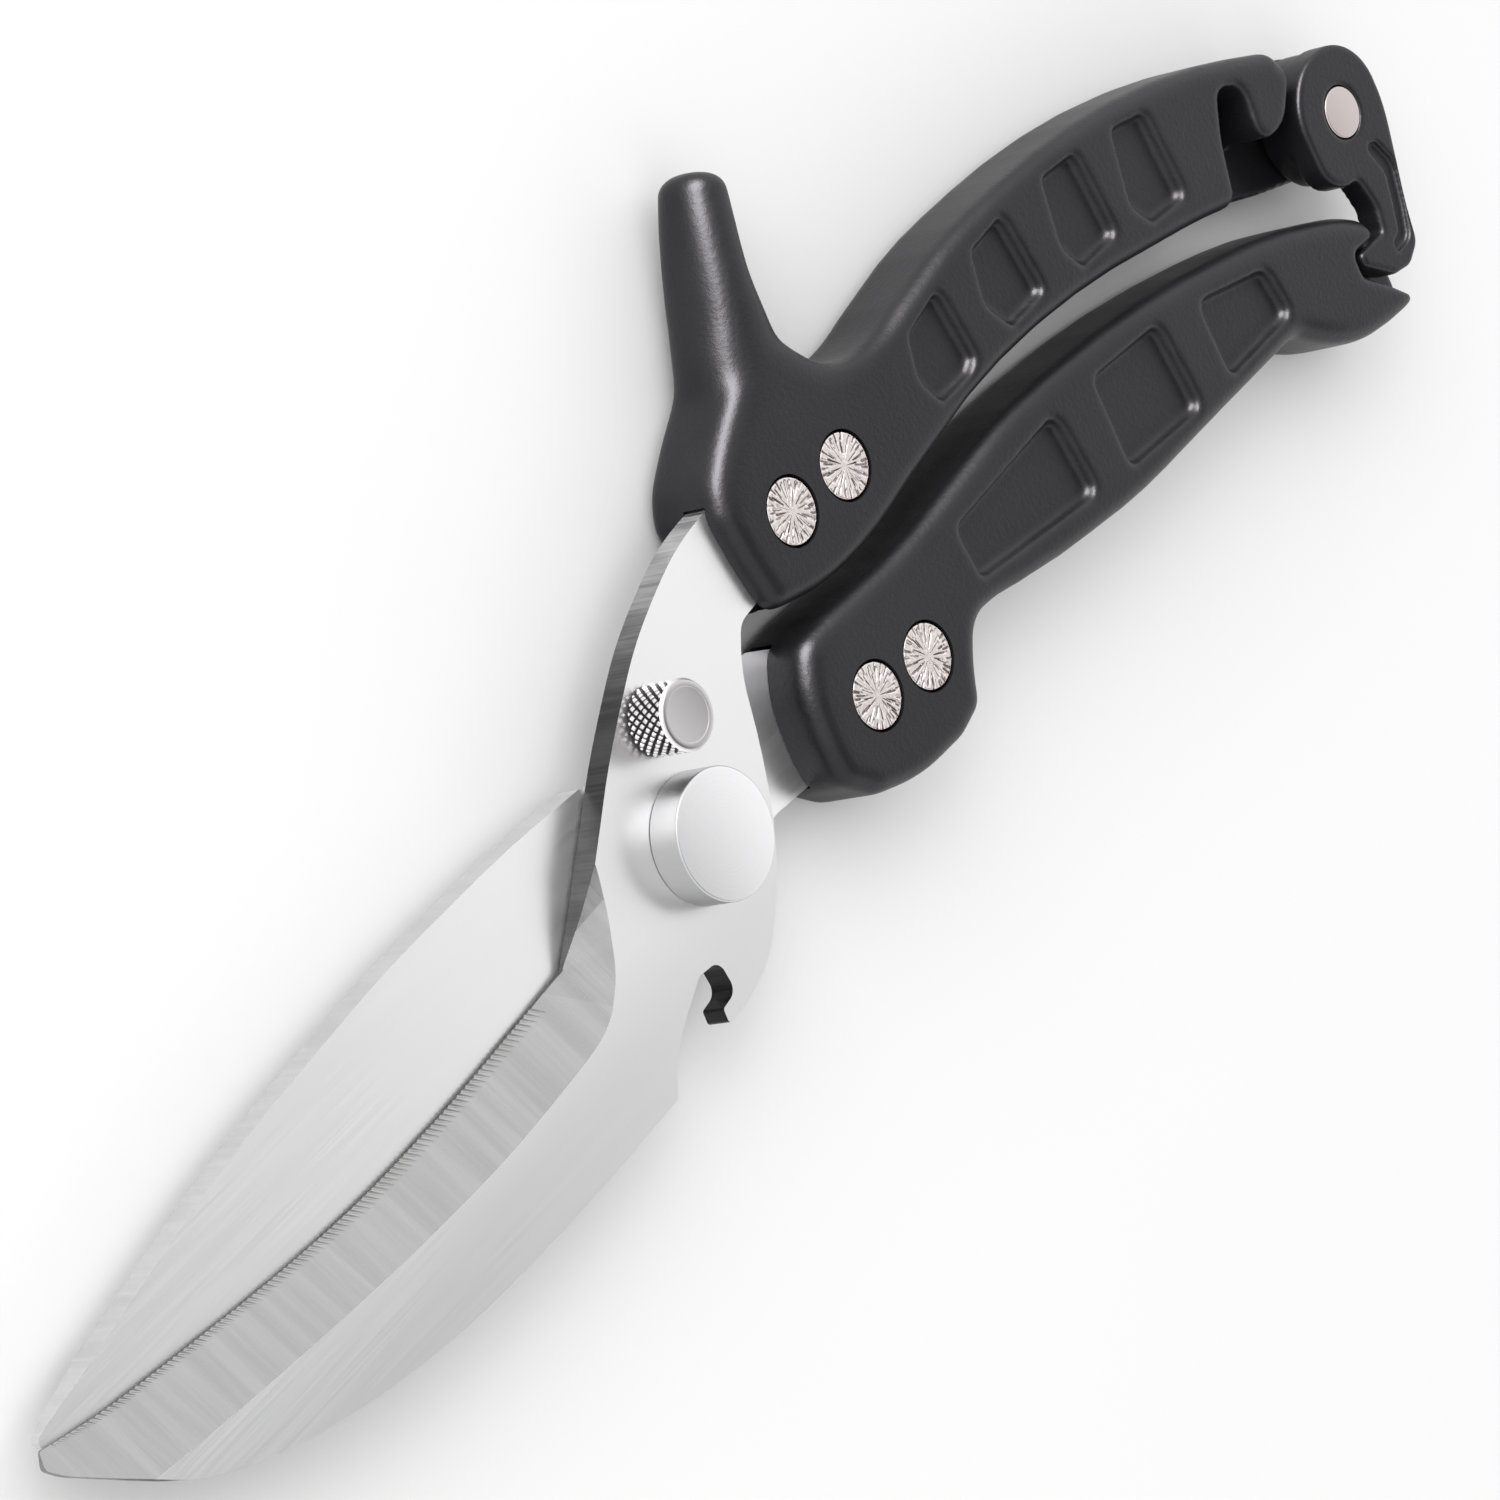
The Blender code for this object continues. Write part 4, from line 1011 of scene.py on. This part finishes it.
def knurl_tree():
    """Two families of crossing grooves pressed into the side of a turned piece."""
    tree, sizes = shape_tree("diamond_knurl", [
        "Centre X", "Centre Y", "Teeth", "Lead", "Depth", "Bottom", "Top", "Least Radius",
    ])
    x, y, z = point_from(tree, sizes)
    radius = length_of(tree, x, y)
    turn = calc(tree, "MULTIPLY", calc(tree, "DIVIDE", calc(tree, "ARCTAN2", y, x), 2 * pi), sizes["Teeth"])
    climb = calc(tree, "DIVIDE", z, sizes["Lead"])
    depths = []
    for operation in ("ADD", "SUBTRACT"):
        share = calc(tree, "FRACT", calc(tree, operation, turn, climb))
        ridge = calc(tree, "ABSOLUTE", calc(tree, "SUBTRACT", calc(tree, "MULTIPLY", share, 2.0), 1.0))
        depths.append(ramp(tree, ridge, 0.36, 0.92))
    groove = calc(tree, "MAXIMUM", *depths)
    low = calc(tree, "GREATER_THAN", z, sizes["Bottom"])
    high = calc(tree, "LESS_THAN", z, sizes["Top"])
    wide = calc(tree, "GREATER_THAN", radius, sizes["Least Radius"])
    sink = calc(tree, "MULTIPLY", calc(tree, "MULTIPLY", groove, sizes["Depth"]),
                calc(tree, "MULTIPLY", wide, calc(tree, "MULTIPLY", low, high)))
    scale = calc(tree, "MULTIPLY", calc(tree, "DIVIDE", sink, radius), -1.0)
    offset = node(tree, "ShaderNodeCombineXYZ", {
        0: calc(tree, "MULTIPLY", x, scale), 1: calc(tree, "MULTIPLY", y, scale),
    })
    moved = node(tree, "GeometryNodeSetPosition", {
        "Geometry": sizes["Geometry"], "Offset": offset.outputs[0],
    })
    end_tree(tree, moved.outputs[0], KNOB_STEEL)
    return tree


def knob():
    low, high = BLADE_TOP + FIT, KNOB_TOP
    knurl_low, knurl_high = low + 0.4, high - 0.5
    side = [(KNOB_R, z) for z in spread(knurl_low, knurl_high, 56)]
    piece = lathe("knurled_knob", [
        (3.3, low), (KNOB_R - 0.4, low), *side, (KNOB_R, high - 0.4, 0.05),
        (KNOB_R - 0.3, high - 0.04, 0.15), (KNOB_R - 0.6, high, 0.1), (KNOB_R - 0.95, high, 0.1),
        (KNOB_R - 1.05, high - 0.08, 0.08), (0, high - 0.08), (0, high - 0.6), (1.8, high - 0.6),
        (1.8, high - 1.8), (3.3, high - 1.8),
    ], KNOB_AT, 360)
    grow(piece, knurl_tree(), {
        "Centre X": KNOB_AT[0] * MM, "Centre Y": KNOB_AT[1] * MM, "Teeth": 23.0, "Lead": 1.36 * MM,
        "Depth": 0.34 * MM, "Bottom": (knurl_low - 0.01) * MM, "Top": (knurl_high + 0.01) * MM,
        "Least Radius": (KNOB_R - 0.1) * MM,
    })
    crisp(piece, angle=30)
    stands_for(piece, "knob", "bright_steel", "lock_knob")


def pivot():
    inner = CAP_R - 0.8
    low = BLADE_TOP + FIT
    cap = lathe("pivot_cap_turned", [
        (0, CAP_TOP), (CAP_R, CAP_TOP, 0.28), (CAP_R, low, 0.1), (inner, low), (inner, CAP_TOP - 1.0),
        (0, CAP_TOP - 1.0),
    ], steps=192)
    slack = 8.0
    near, far = SPRING_LEG_R - 0.75, SPRING_LEG_R + 0.75
    sweep = spread(radians(SPRING_LEG_TURN - slack), radians(SPRING_LEG_TURN + OPENING + slack), 16)
    leg_slot = [Vector((near * cos(a), near * sin(a))) for a in sweep]
    leg_slot += [Vector((far * cos(a), far * sin(a))) for a in reversed(sweep)]
    cut(cap, [slab("leg_slot", leg_slot, 12, CAP_TOP - 0.3)])
    crisp(cap)
    dress(cap, [CAP_STEEL])
    stands_for(cap, "lower", "satin_steel", "pivot_cap")

    bolt = lathe("pivot_bolt_turned", [
        (0, 0), (HEAD_R, 0, 0.5), (HEAD_R, HEAD_T, 0.1), (PIVOT_R, HEAD_T), (PIVOT_R, 10.8, 0.1),
        (2.5, 10.8), (2.5, 13.1, 0.3), (0, 13.1),
    ], steps=192)
    tools = []
    for side in (-1, 1):
        flat = [Vector((side * x, y)) for x, y in ((PIVOT_FLAT, -6), (9, -6), (9, 6), (PIVOT_FLAT, 6))]
        tools.append(slab(f"flat_{side + 1}", flat, HEAD_T, REAR_Z + BLADE_T))
        tools.append(drill(f"spanner_{side + 1}", (0, side * 4.6), 0.9, -1, 1.2, 48))
    cut(bolt, tools)
    crisp(bolt)
    dress(bolt, [CAP_STEEL])
    stands_for(bolt, "lower", "bright_steel", "pivot_bolt")

    pin = lathe("latch_pin_turned", [
        (0, 0.1), (LATCH_PIN_R, 0.1, 0.3), (LATCH_PIN_R, HANDLE_T - 0.02, 0.22), (0, HANDLE_T - 0.02),
    ], LATCH_AT)
    crisp(pin)
    dress(pin, [LATCH_PIN_STEEL])
    stands_for(pin, "upper", "bright_steel", "latch_pin")


def inner_parts():
    """The small parts inside the cap, the knob and the latch keep their shape and get their finish."""
    for name, material in {
        "opening_spring": SPRING_STEEL, "lock_spring": SPRING_STEEL, "pivot_nut": CAP_STEEL,
        "cap_washer": CAP_STEEL, "lock_sleeve": KNOB_STEEL, "lock_pin": KNOB_STEEL,
        "latch_washer": LATCH_PIN_STEEL,
    }.items():
        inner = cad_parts[name]
        inner.data.materials.clear()
        inner.data.materials.append(material)


# ---------------------------------------------------------------- studio

# The dome is even but for a dark flag over the shears, which gives the flat steel its long fall of tone.
DOME = 1.45
FLAG = 0.15
FLAG_AT = Vector((0.25, -0.42, 0.87)).normalized()
FLAG_EDGE = 0.86
FLAG_MIDDLE = 0.96

TABLE_HALF = 3000.0
TABLE_TOP = -0.2
TABLE_BOTTOM = -12.0

CAMERA_AT = (-0.509533, 0.225856, 0.573607)
CAMERA_TURN = (9.533, -44.398, -36.498)
CAMERA_LENS = 168.96


def floor():
    """A wide pale table just under the shears."""
    material, tree, shader = finish_named("pale_table", (0.69,) * 3, 0.0, 0.7, Specular_IOR_Level=0.2)
    coloured(tree, shader, grain_of(tree, (9, 9, 9), detail=2.0), (0.67,) * 3, (0.69,) * 3)
    corners = [Vector((x, y)) * TABLE_HALF for x, y in ((-1, -1), (1, -1), (1, 1), (-1, 1))]
    table = slab("table", corners, TABLE_BOTTOM, TABLE_TOP)
    dress(table, [material])


def softbox(name, place, target, size, power, only=()):
    """A rectangular lamp, which can be flagged so that it lights only some pieces."""
    data = bpy.data.lights.new(name, "AREA")
    data.shape = "RECTANGLE"
    data.size, data.size_y = size
    data.energy = power
    lamp = bpy.data.objects.new(name, data)
    lamp.location = place
    lamp.rotation_euler = (Vector(target) - Vector(place)).to_track_quat("-Z", "Y").to_euler()
    bpy.context.scene.collection.objects.link(lamp)
    if only:
        lit = bpy.data.collections.new(name + "_lights")
        for piece in only:
            lit.objects.link(bpy.data.objects[piece])
        lamp.light_linking.receiver_collection = lit
        lamp.visible_diffuse = False


def studio():
    """The dome, the two lamps, the tone mapping and the camera."""
    world = bpy.data.worlds.new("studio")
    bpy.context.scene.world = world
    world.use_nodes = True
    tree = world.node_tree
    towards = node(tree, "ShaderNodeVectorMath", {
        0: node(tree, "ShaderNodeTexCoord").outputs["Generated"], 1: tuple(FLAG_AT),
    }, operation="DOT_PRODUCT").outputs["Value"]
    dome = node(tree, "ShaderNodeMapRange", {
        "Value": towards, "From Min": FLAG_EDGE, "From Max": FLAG_MIDDLE, "To Min": DOME, "To Max": FLAG,
    })
    background = tree.nodes["Background"]
    background.inputs["Color"].default_value = (1.0, 1.0, 1.0, 1.0)
    tree.links.new(dome.outputs[0], background.inputs["Strength"])
    softbox("key", (-0.44, 0.98, 0.65), (0.02, 0.01, 0.0), (1.2, 0.9), 8.0)
    softbox("ridge", (-0.34, 1.10, 0.60), (0.06, 0.03, 0.0), (1.5, 0.9), 120.0,
            ("upper_handle_moulding", "lower_handle_moulding", "latch_moulding"))
    bpy.context.scene.view_settings.view_transform = "Standard"
    bpy.context.scene.view_settings.look = "None"

    data = bpy.data.cameras.new("camera")
    data.lens = CAMERA_LENS
    data.sensor_width = 36.0
    camera = bpy.data.objects.new("camera", data)
    camera.location = CAMERA_AT
    camera.rotation_euler = Euler([radians(a) for a in CAMERA_TURN], "XYZ")
    bpy.context.scene.collection.objects.link(camera)
    bpy.context.scene.camera = camera


front_blade()
rear_blade()
upper_handle()
lower_handle()
latch()
rivets()
knob()
pivot()
inner_parts()
floor()
studio()
